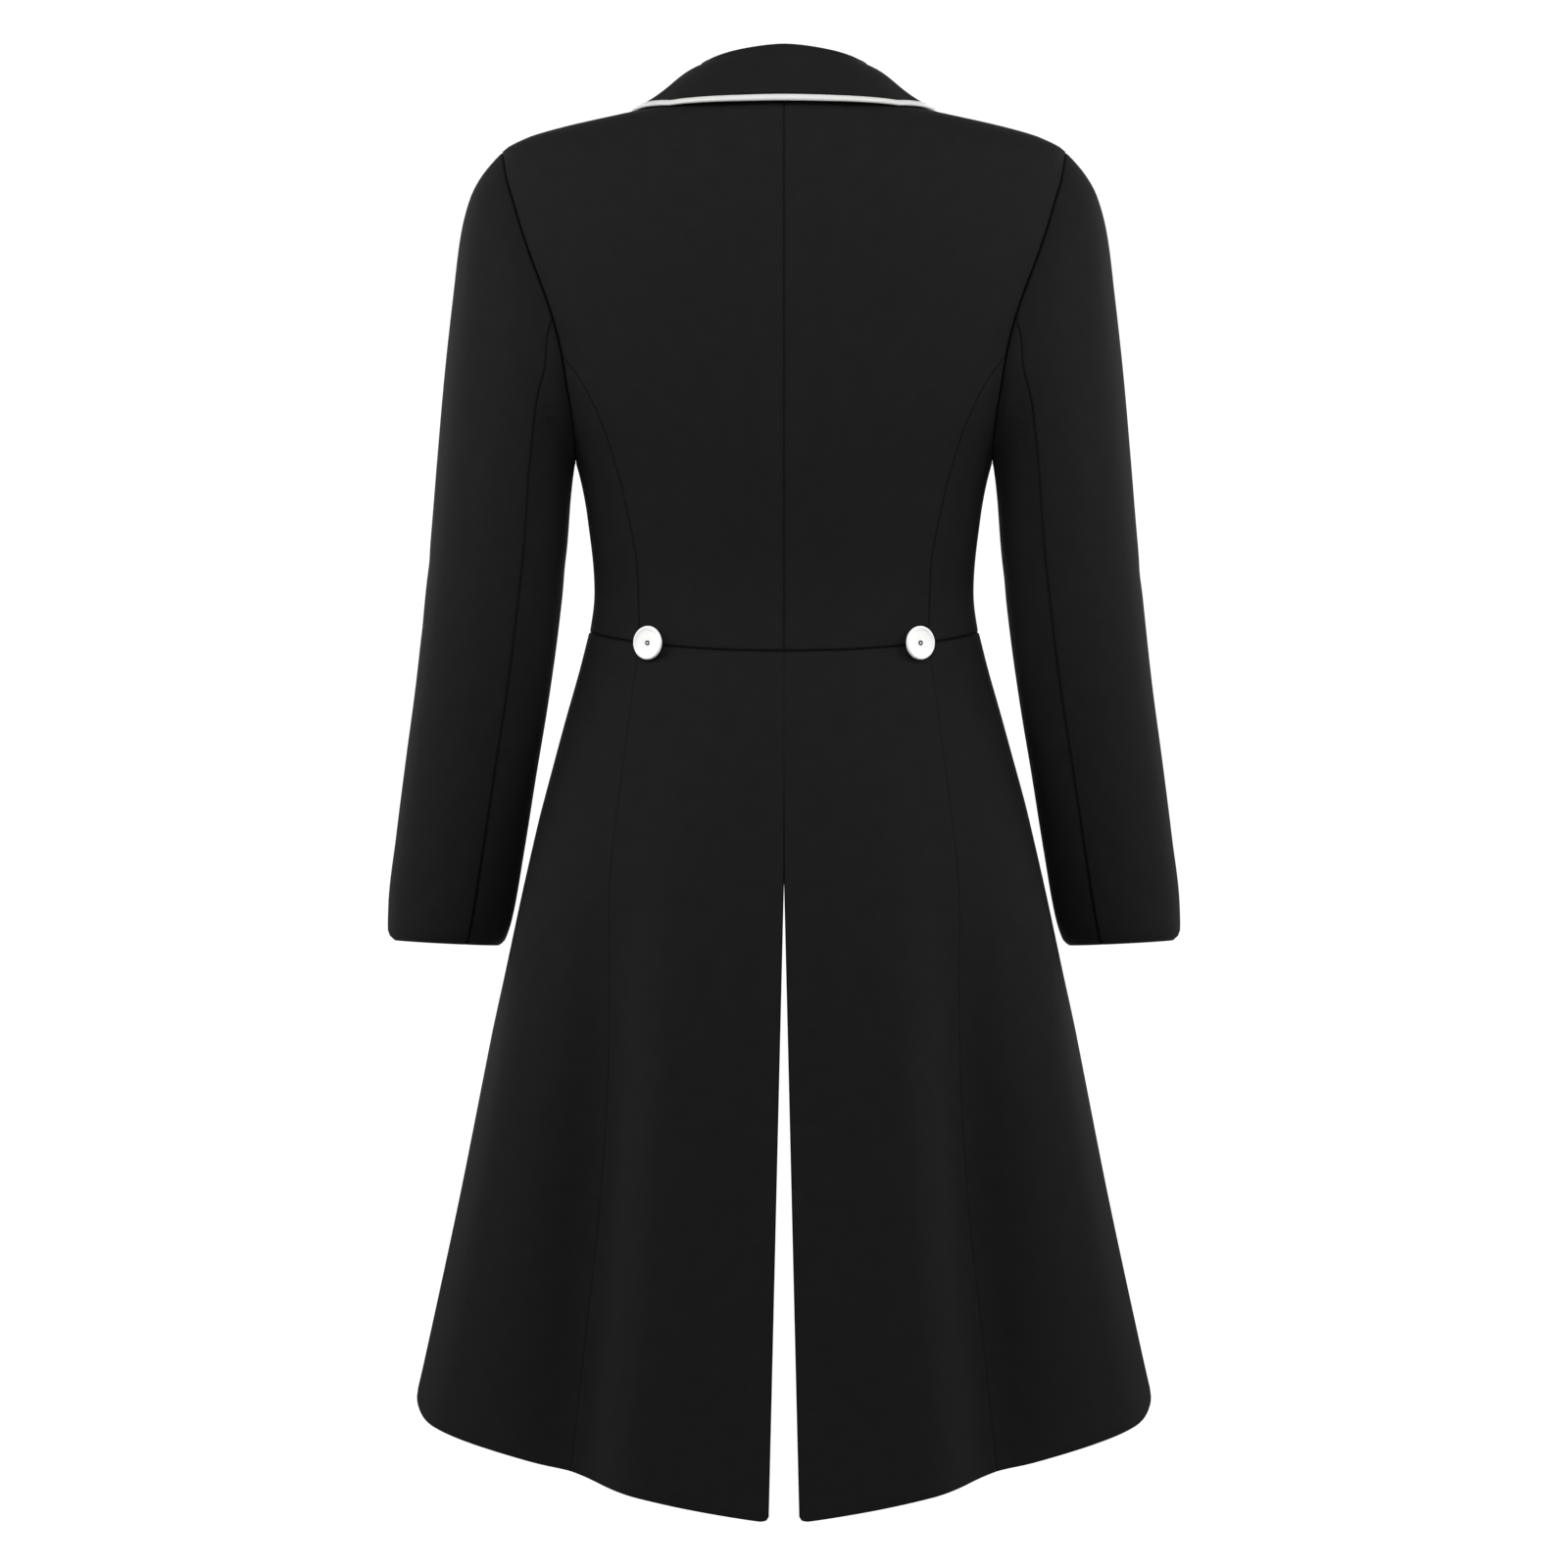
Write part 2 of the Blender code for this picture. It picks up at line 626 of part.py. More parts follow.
def make_tail_side(side, tag):
    shares = np.concatenate([np.linspace(0, 0.8, TAIL_SIDE_COLUMNS - 4), [0.87, 0.93, 0.975, 1.0]])

    def front_angle(down):
        return math.radians(TAIL_FRONT_FOOT + (TAIL_FRONT_TOP - TAIL_FRONT_FOOT) * (1 - down) ** 1.6)

    def line_at(down, levels):
        inner = angle_across(skirt_section, pleat_across(levels[0]), levels[0])
        return inner + (front_angle(down) - inner) * shares

    top_inner = float(angle_across(skirt_section, PLEAT[0].across, PLEAT[0].height))
    top_angles = top_inner + (math.radians(TAIL_FRONT_TOP) - top_inner) * shares
    foot_inner = angle_across(skirt_section, PLEAT[-1].across, PLEAT[-1].height)
    foot_angles = foot_inner + (front_angle(1.0) - foot_inner) * shares
    foot_levels = PLEAT[-1].height + (HEM[-1].height - PLEAT[-1].height) * shares
    foot_points = section_point(skirt_section, foot_angles, foot_levels)
    across = foot_points[:, 0]
    foot = hem_height(np.minimum(across, HEM[-1].across))
    walked = np.concatenate([[0], np.cumsum(np.linalg.norm(np.diff(foot_points, axis=0), axis=1))])
    near = np.clip(1 - (walked[-1] - walked) / HEM_CORNER_WIDTH, 0, 1)
    foot = foot + HEM_CORNER_RISE * (1 - np.sqrt(1 - near ** 2))
    angles, levels = tail_grid(top_angles, foot, line_at)
    outer = skirt(angles, levels)
    gaps = (SEAM / 2, 0.0, SEAM / 2, 0.0)
    make_wall("tail_side_" + tag, outer, surface_normals(skirt, angles, levels), gaps, side)


# Sleeves

def armhole_ring():
    """Return the armhole's points from the underarm, up the back, over the tip and down the front."""
    under = [t for t in side_turns if t > -math.pi / 2]
    turns = under[::-1] + list(back_turns[::-1][1:])
    beyond = [t for t in side_turns if t <= -math.pi / 2]
    turns = beyond[::-1] + turns + [t + 2 * math.pi for t in front_turns[::-1][1:]]
    turns = np.array(turns)
    spots = [armhole_point(t) for t in turns]
    angles = np.array([s[0] for s in spots])
    levels = np.array([s[1] for s in spots])
    return turns, body(angles, levels)


def sleeve_points():
    """Return rings of points down the sleeve; the first lies along the armhole."""
    turns, seam = armhole_ring()
    around = turns + math.pi / 2
    straight = 0.5 - 0.5 * np.cos(around)
    low = body(math.pi / 2, UNDERARM)
    tip = body(math.pi / 2, SHOULDER_TIP)
    bow = seam[:, 0] - (low[0] + (tip[0] - low[0]) * straight)
    rings = [seam]
    for count, ring in enumerate(SLEEVE, start=1):
        share = count / len(SLEEVE)
        skew = ARMHOLE_SKEW * (1 - ease(share * 1.6))
        inner = np.array([ring.inner_x, 0.0, ring.inner_z])
        outer = np.array([ring.outer_x, 0.0, ring.outer_z])
        swung = around - SLEEVE_SWING * ease(count / 3) * np.sin(around)
        ring_points = inner + (outer - inner) * (0.5 - 0.5 * np.cos(swung))[:, None]
        depth = ring.half_depth * np.sin(swung) * (1 + skew * np.cos(swung))
        ring_points[:, 1] = ring.middle + depth
        ring_points[:, 0] += bow * max(0.0, 1 - count / 3.0)
        rings.append(ring_points)
    return np.array(rings)


def make_sleeve(side, tag):
    rings = sleeve_points()
    wrapped = np.concatenate([rings[:, -2:-1], rings, rings[:, 1:2]], axis=1)
    normals = grid_normals(wrapped)[:, 1:-1]
    middles = rings.mean(axis=1, keepdims=True)
    if ((rings - middles) * normals)[4:].sum() < 0:
        normals = -normals
    normals[:, 0] = normals[:, -1] = unit(normals[:, 0] + normals[:, -1])
    turns, _ = armhole_ring()
    elbow = int(np.argmin(np.abs(turns - armhole_turn(ELBOW_SEAM_TOP))))
    fore = int(np.argmin(np.abs(turns - (math.pi - armhole_turn(FORE_SEAM_TOP)))))
    gaps = (SEAM, 0.0, SEAM / 2, SEAM / 2)
    top = slice(elbow, fore + 1)
    make_wall("sleeve_top_" + tag, rings[:, top], normals[:, top], gaps, side)
    under = np.concatenate([rings[:, fore:-1], rings[:, : elbow + 1]], axis=1)
    under_normals = np.concatenate([normals[:, fore:-1], normals[:, : elbow + 1]], axis=1)
    make_wall("sleeve_under_" + tag, under, under_normals, gaps, side)


# Collar, piping and lapels

def neck_line(shares):
    """Return the neck seam, round the back neck and down the front edge to the collar's end."""
    turn_share = 0.5
    spots = []
    for share in shares:
        if share <= turn_share:
            angle = math.pi / 2 * share / turn_share
            spots.append(body(angle, NAPE + (NECK_POINT - NAPE) * math.sin(angle)))
        else:
            level = NECK_POINT + (COLLAR_FOOT - NECK_POINT) * (share - turn_share) / (1 - turn_share)
            angle = angle_across(body_section, front_edge_across(level), level, behind=False)
            spots.append(body(angle, level))
    return np.array(spots)


def collar_lines():
    """Return neck seam, fold and fall edge from the right front end round to the left."""
    mirror = np.array([-1, 1, 1])
    table = np.array(COLLAR, float)
    whole = np.concatenate([table[:0:-1] * np.tile(mirror, 2), table])
    last = len(COLLAR) - 1
    spots = np.linspace(0, last, COLLAR_HALF)
    spots = np.concatenate([-spots[:0:-1], spots])
    places = np.arange(-last, last + 1)
    lines = np.stack([smooth_curve(places, whole[:, k])(spots) for k in range(6)], axis=-1)
    half = neck_line(spots[COLLAR_HALF - 1:] / last)
    seam = np.concatenate([half[:0:-1] * mirror, half])
    return seam, lines[:, :3], lines[:, 3:]


def push_clear(points, clear):
    """Move points below the neck out along the body's slope until they lie this far off it."""
    points = points.copy()
    for _ in range(6):
        off, slope = distance_off(body_section, points)
        below_neck = ease((COLLAR_FREE - points[..., 2]) / COLLAR_FREE_RUN)
        points += slope * (np.maximum(clear - off, 0) * below_neck)[..., None]
    return points


def collar_sheet():
    """Return the collar's visible face: up the inside of the stand, over the fold, down the fall."""
    seam, fold, edge = collar_lines()
    along = unit(np.gradient(fold, axis=0))
    out = edge - seam
    out = unit(out - along * (out * along).sum(-1, keepdims=True))
    lift = unit(np.cross(out, along))
    lift = lift * np.where((lift * (fold - seam)).sum(-1, keepdims=True) < 0, -1, 1)
    foot = seam - out * WALL + lift * (SEAM + 0.2)
    middle = fold - lift * COLLAR_FOLD
    sheet = [foot]
    inside = middle - out * COLLAR_FOLD
    sheet += [foot + (inside - foot) * s for s in (0.5, 1.0)]
    for swing in np.radians([-45, 0]):
        sheet.append(middle + COLLAR_FOLD * (out * math.sin(swing) + lift * math.cos(swing)))
    outside = middle + unit(out + lift * COLLAR_SHOULDER) * COLLAR_FOLD
    edge = push_clear(edge, COLLAR_CLEAR)
    for s in (0.0, 0.2, 0.55, 1.0):
        puff = COLLAR_PUFF * s * (1 - s) ** 3
        row = outside + (edge - outside) * s + unit(out + lift) * puff
        sheet.append(push_clear(row, COLLAR_CLEAR) if s > 0 else row)
    return np.stack(sheet, axis=1)


def make_collar():
    sheet = collar_sheet()
    normals = grid_normals(sheet)
    middle = len(sheet) // 2
    if normals[middle, -2] @ np.array([0, 1, 0]) < 0:
        normals = -normals
    make_wall("collar", sheet, normals, (0.0, 0.0, 0.0, 0.0))
    return sheet, normals


def make_piping(sheet, normals):
    """Make the cord along the edge of the collar fall."""
    edge = sheet[:, -1]
    down = unit(edge - sheet[:, -2])
    out = normals[:, -1]
    centre = edge - out * WALL / 2 + down * (2 * SEAM + PIPING_HEIGHT / 2)
    centre = push_clear(centre, PIPING_DEPTH / 2 + LAYER)
    rings = []
    for k in range(PIPING_SIDES):
        turn = 2 * math.pi * k / PIPING_SIDES
        rings.append(
            centre + down * PIPING_HEIGHT / 2 * math.cos(turn) + out * PIPING_DEPTH / 2 * math.sin(turn)
        )
    grid = np.stack(rings, axis=1)
    faces = []
    for i in range(len(grid) - 1):
        low = i * PIPING_SIDES
        high = low + PIPING_SIDES
        for k in range(PIPING_SIDES):
            j = (k + 1) % PIPING_SIDES
            faces.append([low + k, low + j, high + j, high + k])
    ends = np.arange(grid.shape[0] * PIPING_SIDES).reshape(-1, PIPING_SIDES)[[0, -1]]
    faces += ends.tolist()
    make_object("collar_piping", grid.reshape(-1, 3), faces, WHITE_CORD)


def lapel_columns(share):
    """Return (distance beyond the roll line, lift off the front) across the facing and lapel."""
    width = float(lapel_width(share))
    within = -WALL - LAPEL_GAP - LAPEL_WALL
    upon = LAPEL_GAP + LAPEL_WALL
    roll = 0.5 * (upon - within)
    spots = [(FACING_DEPTH, within), (1.0, within), (-0.7 * roll, within + 0.35 * roll)]
    spots += [(-roll, 0.5 * (within + upon)), (-0.7 * roll, upon - 0.35 * roll)]
    for step in (0.08, 0.35, 0.7, 1.0):
        spots.append((width * step, upon + 2.0 * math.sin(math.pi * step) * (1 - share)))
    return spots


def lapel_place(share, column):
    """Return how far across and how high a point of the lapel lies, and its lift."""
    top = COLLAR_FOOT - LAYER
    level = top + (BREAK_POINT + 4.0 - top) * share
    beyond, lift = lapel_columns(share)[column]
    slant = LAPEL_SLANT * max(beyond, 0.0) * (1 - share)
    return float(front_edge_across(level)) + beyond, level - slant, lift


def under_share(column):
    """Return the share of the under lapel's column that shows above the other front's roll line."""
    low, high = 0.0, 1.0
    for _ in range(30):
        share = 0.5 * (low + high)
        across, level, _ = lapel_place(share, column)
        if across < TUCK - float(front_edge_across(level)):
            high = share
        else:
            low = share
    return low


def make_lapel(side, tag, over):
    """Make the facing that starts inside, rolls round the front edge and lies on the front."""
    surface = front_surface(over)
    count = len(lapel_columns(0.0))
    ends = [1.0 if over else under_share(column) for column in range(count)]
    outer = np.zeros((LAPEL_ROWS, count, 3))
    for row, share in enumerate(np.linspace(0, 1, LAPEL_ROWS)):
        for column in range(count):
            across, level, lift = lapel_place(share * ends[column], column)
            angle = np.array(angle_across(body_section, across, level, behind=False))
            level = np.array(level)
            outer[row, column] = surface(angle, level) + surface_normals(surface, angle, level) * lift
    normals = grid_normals(outer)
    if normals[0, -2, 1] > 0:
        normals = -normals
    make_wall("lapel_" + tag, outer, normals, (0.0,) * 4, side, LAPEL_WALL)


# Buttons

ButtonRow = namedtuple("ButtonRow", "radius height")
BUTTON = [
    ButtonRow(0.0, 0.0),
    ButtonRow(0.80, 0.0),
    ButtonRow(1.0, 0.35),
    ButtonRow(1.0, 0.72),
    ButtonRow(0.93, 1.0),
    ButtonRow(0.84, 0.92),
    ButtonRow(0.70, 0.72),
    ButtonRow(0.0, 0.66),
]


def make_button(name, seat, facing):
    """Make a dished disc standing just off the cloth."""
    facing = unit(np.asarray(facing, float))
    beside = unit(np.cross(facing, [0, 0, 1]))
    upward = np.cross(beside, facing)
    points = []
    for row in BUTTON[1:-1]:
        for k in range(BUTTON_SIDES):
            turn = 2 * math.pi * k / BUTTON_SIDES
            flat = beside * math.cos(turn) + upward * math.sin(turn)
            lift = BUTTON_SHANK + row.height * BUTTON_THICKNESS
            points.append(seat + flat * row.radius * BUTTON_DIAMETER / 2 + facing * lift)
    rings = np.arange(len(points)).reshape(-1, BUTTON_SIDES)
    bottom = len(points)
    top = bottom + 1
    for row in (BUTTON[0], BUTTON[-1]):
        points.append(seat + facing * (BUTTON_SHANK + row.height * BUTTON_THICKNESS))
    faces = []
    for k in range(BUTTON_SIDES):
        j = (k + 1) % BUTTON_SIDES
        for low, high in zip(rings, rings[1:]):
            faces.append([low[k], low[j], high[j], high[k]])
        faces.append([bottom, rings[0][j], rings[0][k]])
        faces.append([top, rings[-1][k], rings[-1][j]])
    make_object(name, points, faces, WHITE_BUTTON)


def waist_button_seat():
    """Return the seat and facing of a waist button, clear of the body above and the skirt below."""
    level = np.array(WAIST_BACK + 6.0)
    angle = np.array(angle_across(body_section, BACK_BUTTON_ACROSS, level))
    facing = surface_normals(body, angle, level + 12.0) + surface_normals(skirt, angle, level - 12.0)
    facing = unit(unit(facing * [1, 1, 0]) + [BUTTON_LEAN, 0, 0])
    beside = unit(np.cross(facing, [0, 0, 1]))
    upward = np.cross(beside, facing)
    turns = np.linspace(0, 2 * math.pi, BUTTON_SIDES, endpoint=False)[:, None]
    rim = (beside * np.cos(turns) + upward * np.sin(turns)) * BUTTON_DIAMETER / 2
    seat = body(angle, level)
    for _ in range(4):
        back = np.concatenate(
            [seat + rim * row.radius + facing * row.height * BUTTON_THICKNESS for row in BUTTON[1:3]]
        )
        section = [body_section if p[2] > level else skirt_section for p in back]
        nearest = min(float(distance_off(s, p)[0]) for s, p in zip(section, back))
        seat = seat - facing * min(nearest, 0.0)
    return seat, facing


def make_buttons():
    seat, facing = waist_button_seat()
    for side, tag in ((1, "left"), (-1, "right")):
        mirror = np.array([side, 1, 1])
        make_button("button_back_" + tag, seat * mirror, facing * mirror)
    surface = front_surface(True)
    centre = np.array(math.pi)
    mirror = np.array([-1, 1, 1])
    for count, level in enumerate(FRONT_BUTTONS, start=1):
        height = np.array(level)
        facing = surface_normals(surface, centre, height) * mirror
        make_button("button_front_%d" % count, surface(centre, height) * mirror, facing)


for old in list(bpy.data.objects):
    bpy.data.objects.remove(old)
for side, tag in ((1, "left"), (-1, "right")):
    over = tag == "right"
    make_back(side, tag)
    make_side(side, tag)
    make_front(side, tag, over)
    make_tail_back(side, tag)
    make_tail_side(side, tag)
    make_sleeve(side, tag)
    make_lapel(side, tag, over)
collar_points, collar_normals = make_collar()
make_piping(collar_points, collar_normals)
make_buttons()
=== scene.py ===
import math
from collections import namedtuple

import bpy
import numpy as np
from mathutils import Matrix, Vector


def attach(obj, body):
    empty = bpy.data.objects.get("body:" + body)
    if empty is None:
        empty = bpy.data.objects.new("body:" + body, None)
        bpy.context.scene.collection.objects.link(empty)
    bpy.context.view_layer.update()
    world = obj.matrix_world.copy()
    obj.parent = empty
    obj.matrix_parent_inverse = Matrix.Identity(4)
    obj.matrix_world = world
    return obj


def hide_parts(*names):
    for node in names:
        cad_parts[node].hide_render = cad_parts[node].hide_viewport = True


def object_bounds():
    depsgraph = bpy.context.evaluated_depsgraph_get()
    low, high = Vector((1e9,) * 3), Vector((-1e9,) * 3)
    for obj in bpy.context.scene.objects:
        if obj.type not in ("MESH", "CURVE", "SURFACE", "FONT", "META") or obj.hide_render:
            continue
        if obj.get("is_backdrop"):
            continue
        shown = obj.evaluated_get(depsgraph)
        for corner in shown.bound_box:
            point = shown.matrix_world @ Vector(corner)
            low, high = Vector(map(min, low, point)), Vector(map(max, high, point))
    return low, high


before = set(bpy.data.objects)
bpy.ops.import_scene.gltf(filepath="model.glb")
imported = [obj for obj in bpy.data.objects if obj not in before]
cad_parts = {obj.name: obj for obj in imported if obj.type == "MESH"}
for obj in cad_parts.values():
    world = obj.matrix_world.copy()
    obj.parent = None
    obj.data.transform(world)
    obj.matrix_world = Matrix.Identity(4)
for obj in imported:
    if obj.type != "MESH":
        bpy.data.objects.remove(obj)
cad_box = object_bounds()

# Looks of the dressage tailcoat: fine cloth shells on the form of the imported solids.
# Sizes are millimetres, the same as the solids'; meshes are made in metres.
METRES = 0.001
SIDES = ((1, "left"), (-1, "right"))
MIRROR = np.array([-1, 1, 1])

# Cloth and sewing
WALL = 2.0
SEAM = 0.3
LAYER = 1.2
BUTTON_DIAMETER = 24.4
BUTTON_THICKNESS = 3.6
BUTTON_SHANK = 0.5
PIPING_HEIGHT = 5.2
PIPING_DEPTH = 3.6

# Heights that set the cut
NAPE = 24.0
NECK_POINT = 21.0
SHOULDER_TIP = -22.0
UNDERARM = -250.0
SIDE_BACK_START = -174.0
WAIST_SIDE = -374.5
WAIST_BACK = -389.5
WAIST_CURVE = 1.6
VENT_TOP = -549.0
HEM_BACK = -1013.0
BREAK_POINT = -205.0
FRONT_HEM = -424.0

# Horizontal sections of the body, neck to front hem
Section = namedtuple("Section", "height half_width back front back_square front_square")
BODY = [
    Section(24, 72, 57, 44, 2.00, 2.00),
    Section(12, 90, 62, 50, 2.05, 2.00),
    Section(6.5, 116.5, 65, 54, 2.00, 1.90),
    Section(-5, 168, 71, 63, 1.85, 1.80),
    Section(-11.5, 189, 75, 68, 1.85, 1.80),
    Section(-22, 207, 80, 76, 1.95, 1.90),
    Section(-50, 216, 89, 92, 2.20, 2.10),
    Section(-80, 214, 95, 105, 2.40, 2.20),
    Section(-114, 208, 98, 116, 2.50, 2.30),
    Section(-150, 198, 99, 123, 2.50, 2.35),
    Section(-190, 183, 98, 126, 2.50, 2.40),
    Section(-220, 168, 96, 124, 2.45, 2.40),
    Section(-250, 153, 93, 118, 2.35, 2.35),
    Section(-290, 144.5, 87, 107, 2.25, 2.30),
    Section(-345, 139.3, 81, 97, 2.20, 2.25),
    Section(-380, 143.6, 84, 97, 2.20, 2.25),
    Section(-440, 160.0, 100, 103, 2.20, 2.25),
]

# Horizontal sections of the skirt, waist to hem
SKIRT = [
    Section(-370, 142.0, 81.5, 97, 2.20, 2.25),
    Section(-400, 149.5, 89, 99, 2.20, 2.20),
    Section(-443, 161.6, 102, 103, 2.20, 2.20),
    Section(-486, 172.8, 113, 108, 2.20, 2.10),
    Section(-551, 187.6, 126, 114, 2.25, 2.10),
    Section(-637, 205.6, 138, 122, 2.30, 2.10),
    Section(-767, 235.0, 150, 134, 2.35, 2.10),
    Section(-896, 268.0, 161, 146, 2.40, 2.10),
    Section(-1020, 299.0, 170, 156, 2.40, 2.10),
]

# Side-back seam and the pleat line below it, as half distances across the back
SeamPoint = namedtuple("SeamPoint", "height across")
SIDE_BACK = [
    SeamPoint(-174, 162.0),
    SeamPoint(-194, 147.0),
    SeamPoint(-241, 126.5),
    SeamPoint(-287, 114.2),
    SeamPoint(-330, 106.8),
    SeamPoint(-383, 105.0),
]
PLEAT = [
    SeamPoint(-383, 105.0),
    SeamPoint(-455, 115.5),
    SeamPoint(-570, 132.5),
    SeamPoint(-720, 140.5),
    SeamPoint(-980, 163.0),
]
PLEAT_DEPTH = 29.0
PLEAT_ROLL = 64.0
PLEAT_SPREAD = 95.0
PLEAT_PACE = 1.4
VENT_HALF_GAP = 11.0
VENT_CORNER = 4.0
VENT_CORNER_WIDTH = 5.0
VENT_COLUMNS = (0.0, 0.006, 0.014)
# Painted shade down the closed vent above its opening: the height where it starts and how far it runs to
# full darkness
VENT_PAINTED_SHADE_TOP = -466.0
VENT_PAINTED_SHADE_RUN = 50.0

# Hem height against the distance across, from the vent to the front edge
HEM = [
    SeamPoint(-1013.5, 12),
    SeamPoint(-1003.8, 61),
    SeamPoint(-992.5, 113),
    SeamPoint(-988.8, 130),
    SeamPoint(-983.6, 153),
    SeamPoint(-980.2, 166),
    SeamPoint(-976.2, 185),
    SeamPoint(-971.6, 201),
    SeamPoint(-959.4, 236),
    SeamPoint(-945.8, 268),
]
HEM_CORNER_WIDTH = 38.0
HEM_CORNER_RISE = 20.5
TAIL_FRONT_TOP = 128.0
TAIL_FRONT_FOOT = 74.0
TAIL_FRONT_CURVE = 1.6

# Armhole, an egg seen from the side, and where the sleeve seams start on it
ARMHOLE_MIDDLE = (SHOULDER_TIP + UNDERARM) / 2
ARMHOLE_HALF = (SHOULDER_TIP - UNDERARM) / 2
ARMHOLE_BACK = 64.0
ARMHOLE_FRONT = 60.0
ARMHOLE_SKEW = 0.15
SIDE_SEAM = math.radians(104)
UNDERARM_SEAM = math.radians(-104)
SLEEVE_SWING = 0.31
SLEEVE_SKEW_FADE = 1.6
SLEEVE_BLEND = 3
ELBOW_TURN = math.radians(-5.8)
FORE_TURN = math.radians(193.75)

# Sleeve rings: outer and inner edge seen from the back, depth, and how far the middle lies back
Ring = namedtuple("Ring", "outer_x outer_z inner_x inner_z half_depth middle")
SLEEVE = [
    Ring(213.5, -29.0, 153.6, -252.0, 64.0, 2.0),
    Ring(221.0, -38.2, 153.9, -254.0, 65.5, 2.0),
    Ring(229.2, -52.5, 154.2, -256.0, 66.0, 2.0),
    Ring(236.9, -80.0, 154.5, -258.5, 65.5, 2.5),
    Ring(243.0, -128.0, 154.9, -261.5, 64.0, 3.0),
    Ring(249.5, -188.0, 155.4, -266.0, 62.0, 3.5),
    Ring(254.5, -246.0, 156.4, -276.0, 60.5, 4.5),
    Ring(259.0, -302.0, 159.0, -312.0, 57.0, 6.0),
    Ring(264.5, -360.0, 165.3, -372.0, 53.5, 6.5),
    Ring(270.5, -414.0, 172.9, -426.0, 50.0, 4.0),
    Ring(278.0, -468.0, 182.0, -480.0, 47.0, -2.0),
    Ring(285.5, -524.0, 191.0, -535.0, 44.5, -11.0),
    Ring(291.8, -576.0, 200.5, -586.0, 42.0, -21.0),
    Ring(292.3, -592.5, 203.8, -596.5, 41.3, -24.0),
    Ring(290.6, -598.3, 206.6, -602.2, 40.2, -25.2),
    Ring(286.8, -601.6, 211.0, -605.4, 38.6, -26.0),
]

# Collar stations from the centre back to the front end: fold line and edge of the fall
Station = namedtuple("Station", "fold_x fold_y fold_z edge_x edge_y edge_z")
COLLAR = [
    Station(0, 50, 53, 0, 68, 16.2),
    Station(36.5, 38, 49.5, 40, 64, 15.5),
    Station(54, 17, 45.4, 74, 48, 14.2),
    Station(60.2, -4, 43.2, 100, 12, 10.8),
    Station(61, -34, 30, 108, -28, 3.0),
    Station(57, -62, 4, 107, -62, -20.0),
    Station(51, -85, -25, 100, -85, -47.0),
]
COLLAR_FOLD = 3.6
COLLAR_FOLD_TURNS = np.radians([-60, -30, 0, 25])
COLLAR_RAISE = 0.2
COLLAR_FREE = 32.0
COLLAR_FREE_RUN = 12.0
COLLAR_SHOULDER = 1.0
COLLAR_FOOT = -28.0
COLLAR_CLEAR = 4.4
COLLAR_PUFF = 26.0

# Front edge, seen from the front
ROLL_TOP = SeamPoint(19.0, 72.0)
ROLL_BEND = 60.0
FRONT_LAP = 20.0
LAP_START = 80.0
LAP_FULL = 22.0
LAP_TOP = -30.0
LAP_RUN = 140.0
FRONT_POINT_ROUNDING = 6.0
FRONT_POINT_WIDTH = 16.0
FRONT_HEM_START = 0.6
FRONT_HEM_CURVE = 1.4

# Lapel: width across from the roll line against the share of the roll line's length
LapelRow = namedtuple("LapelRow", "share width")
LAPEL = [
    LapelRow(0.0, 56.0),
    LapelRow(0.14, 66.0),
    LapelRow(0.45, 50.0),
    LapelRow(0.75, 27.0),
    LapelRow(1.0, 6.0),
]
LAPEL_WALL = 1.6
LAPEL_GAP = 1.6
LAPEL_SLANT = 0.55
LAPEL_CROWN = 2.0
LAPEL_STEPS = (0.08, 0.35, 0.7, 1.0)
LAPEL_END = 4.0
FACING_DEPTH = 10.0
FACING_ROLL = 1.0
FACING_END = -280.0
FACING_FADE = 65.0
LAPEL_TUCK = 6.5

# Where the buttons sit
BACK_BUTTON_ACROSS = 95.8
BACK_BUTTON_RISE = 6.0
BUTTON_LEAN = 0.16
BUTTON_REACH = 12.0
FRONT_BUTTONS = [-226.0, -290.0, -354.0]

# Steps for slopes, in radians and millimetres, and a way that no thread follows
TURN_STEP = 2e-3
DROP_STEP = 0.3
THREAD_SLANT = (0.31, 0.17, 0.93)

# How finely each shell is divided
FINE = 8
RING_POINTS = 24
RIDGE_ROWS = 26
TIP_LEVEL = -12.0
ARMHOLE_ROWS = 40
LOW_ROWS = 44
BACK_COLUMNS = 46
SIDE_COLUMNS = 26
FRONT_COLUMNS = 56
TAIL_ROWS = 120
TAIL_BACK_COLUMNS = 40
TAIL_SIDE_COLUMNS = 64
SLEEVE_ROWS = 130
SLEEVE_TOP_COLUMNS = 66
SLEEVE_UNDER_COLUMNS = 40
COLLAR_HALF = 70
COLLAR_STAND_COLUMNS = 9
COLLAR_FALL_COLUMNS = 15
LAPEL_ROWS = 60
LAPEL_COLUMNS = 40
PIPING_SIDES = 16
BUTTON_SIDES = 72
BUTTONHOLE_STEPS = 40
BUTTONHOLE_BEND_STEPS = 16
THREAD_STEPS = 9

# How each kind of edge is finished: how far it laps its neighbour, how far it is tucked on under it,
# how wide and deep its two faces are rounded, and how much painted shade darkens the cloth's colour in
# the seam
Edge = namedtuple("Edge", "lap tuck width outer inner shade")
SEWN = Edge(0.2, 0.0, 2.0, 1.2, 0.3, 0.45)
SLEEVE_HEAD = Edge(0.4, 2.2, 3.6, 1.5, 0.2, 1.0)
WAIST_EDGE = Edge(0.3, 0.0, 2.2, 1.5, 0.2, 0.9)
ELBOW_EDGE = Edge(0.2, 0.0, 3.0, 1.4, 0.3, 0.5)
SKIRT_EDGE = Edge(0.2, 0.0, 1.2, 0.8, 0.3, 0.1)
# The vent's edges carry painted shade, scaled down the slit above the vent's opening
VENT_EDGE = Edge(0.2, 0.0, 2.0, 0.8, 0.3, 1.0)
FREE = Edge(0.0, 0.0, 0.9, 0.9, 0.9, 0.0)
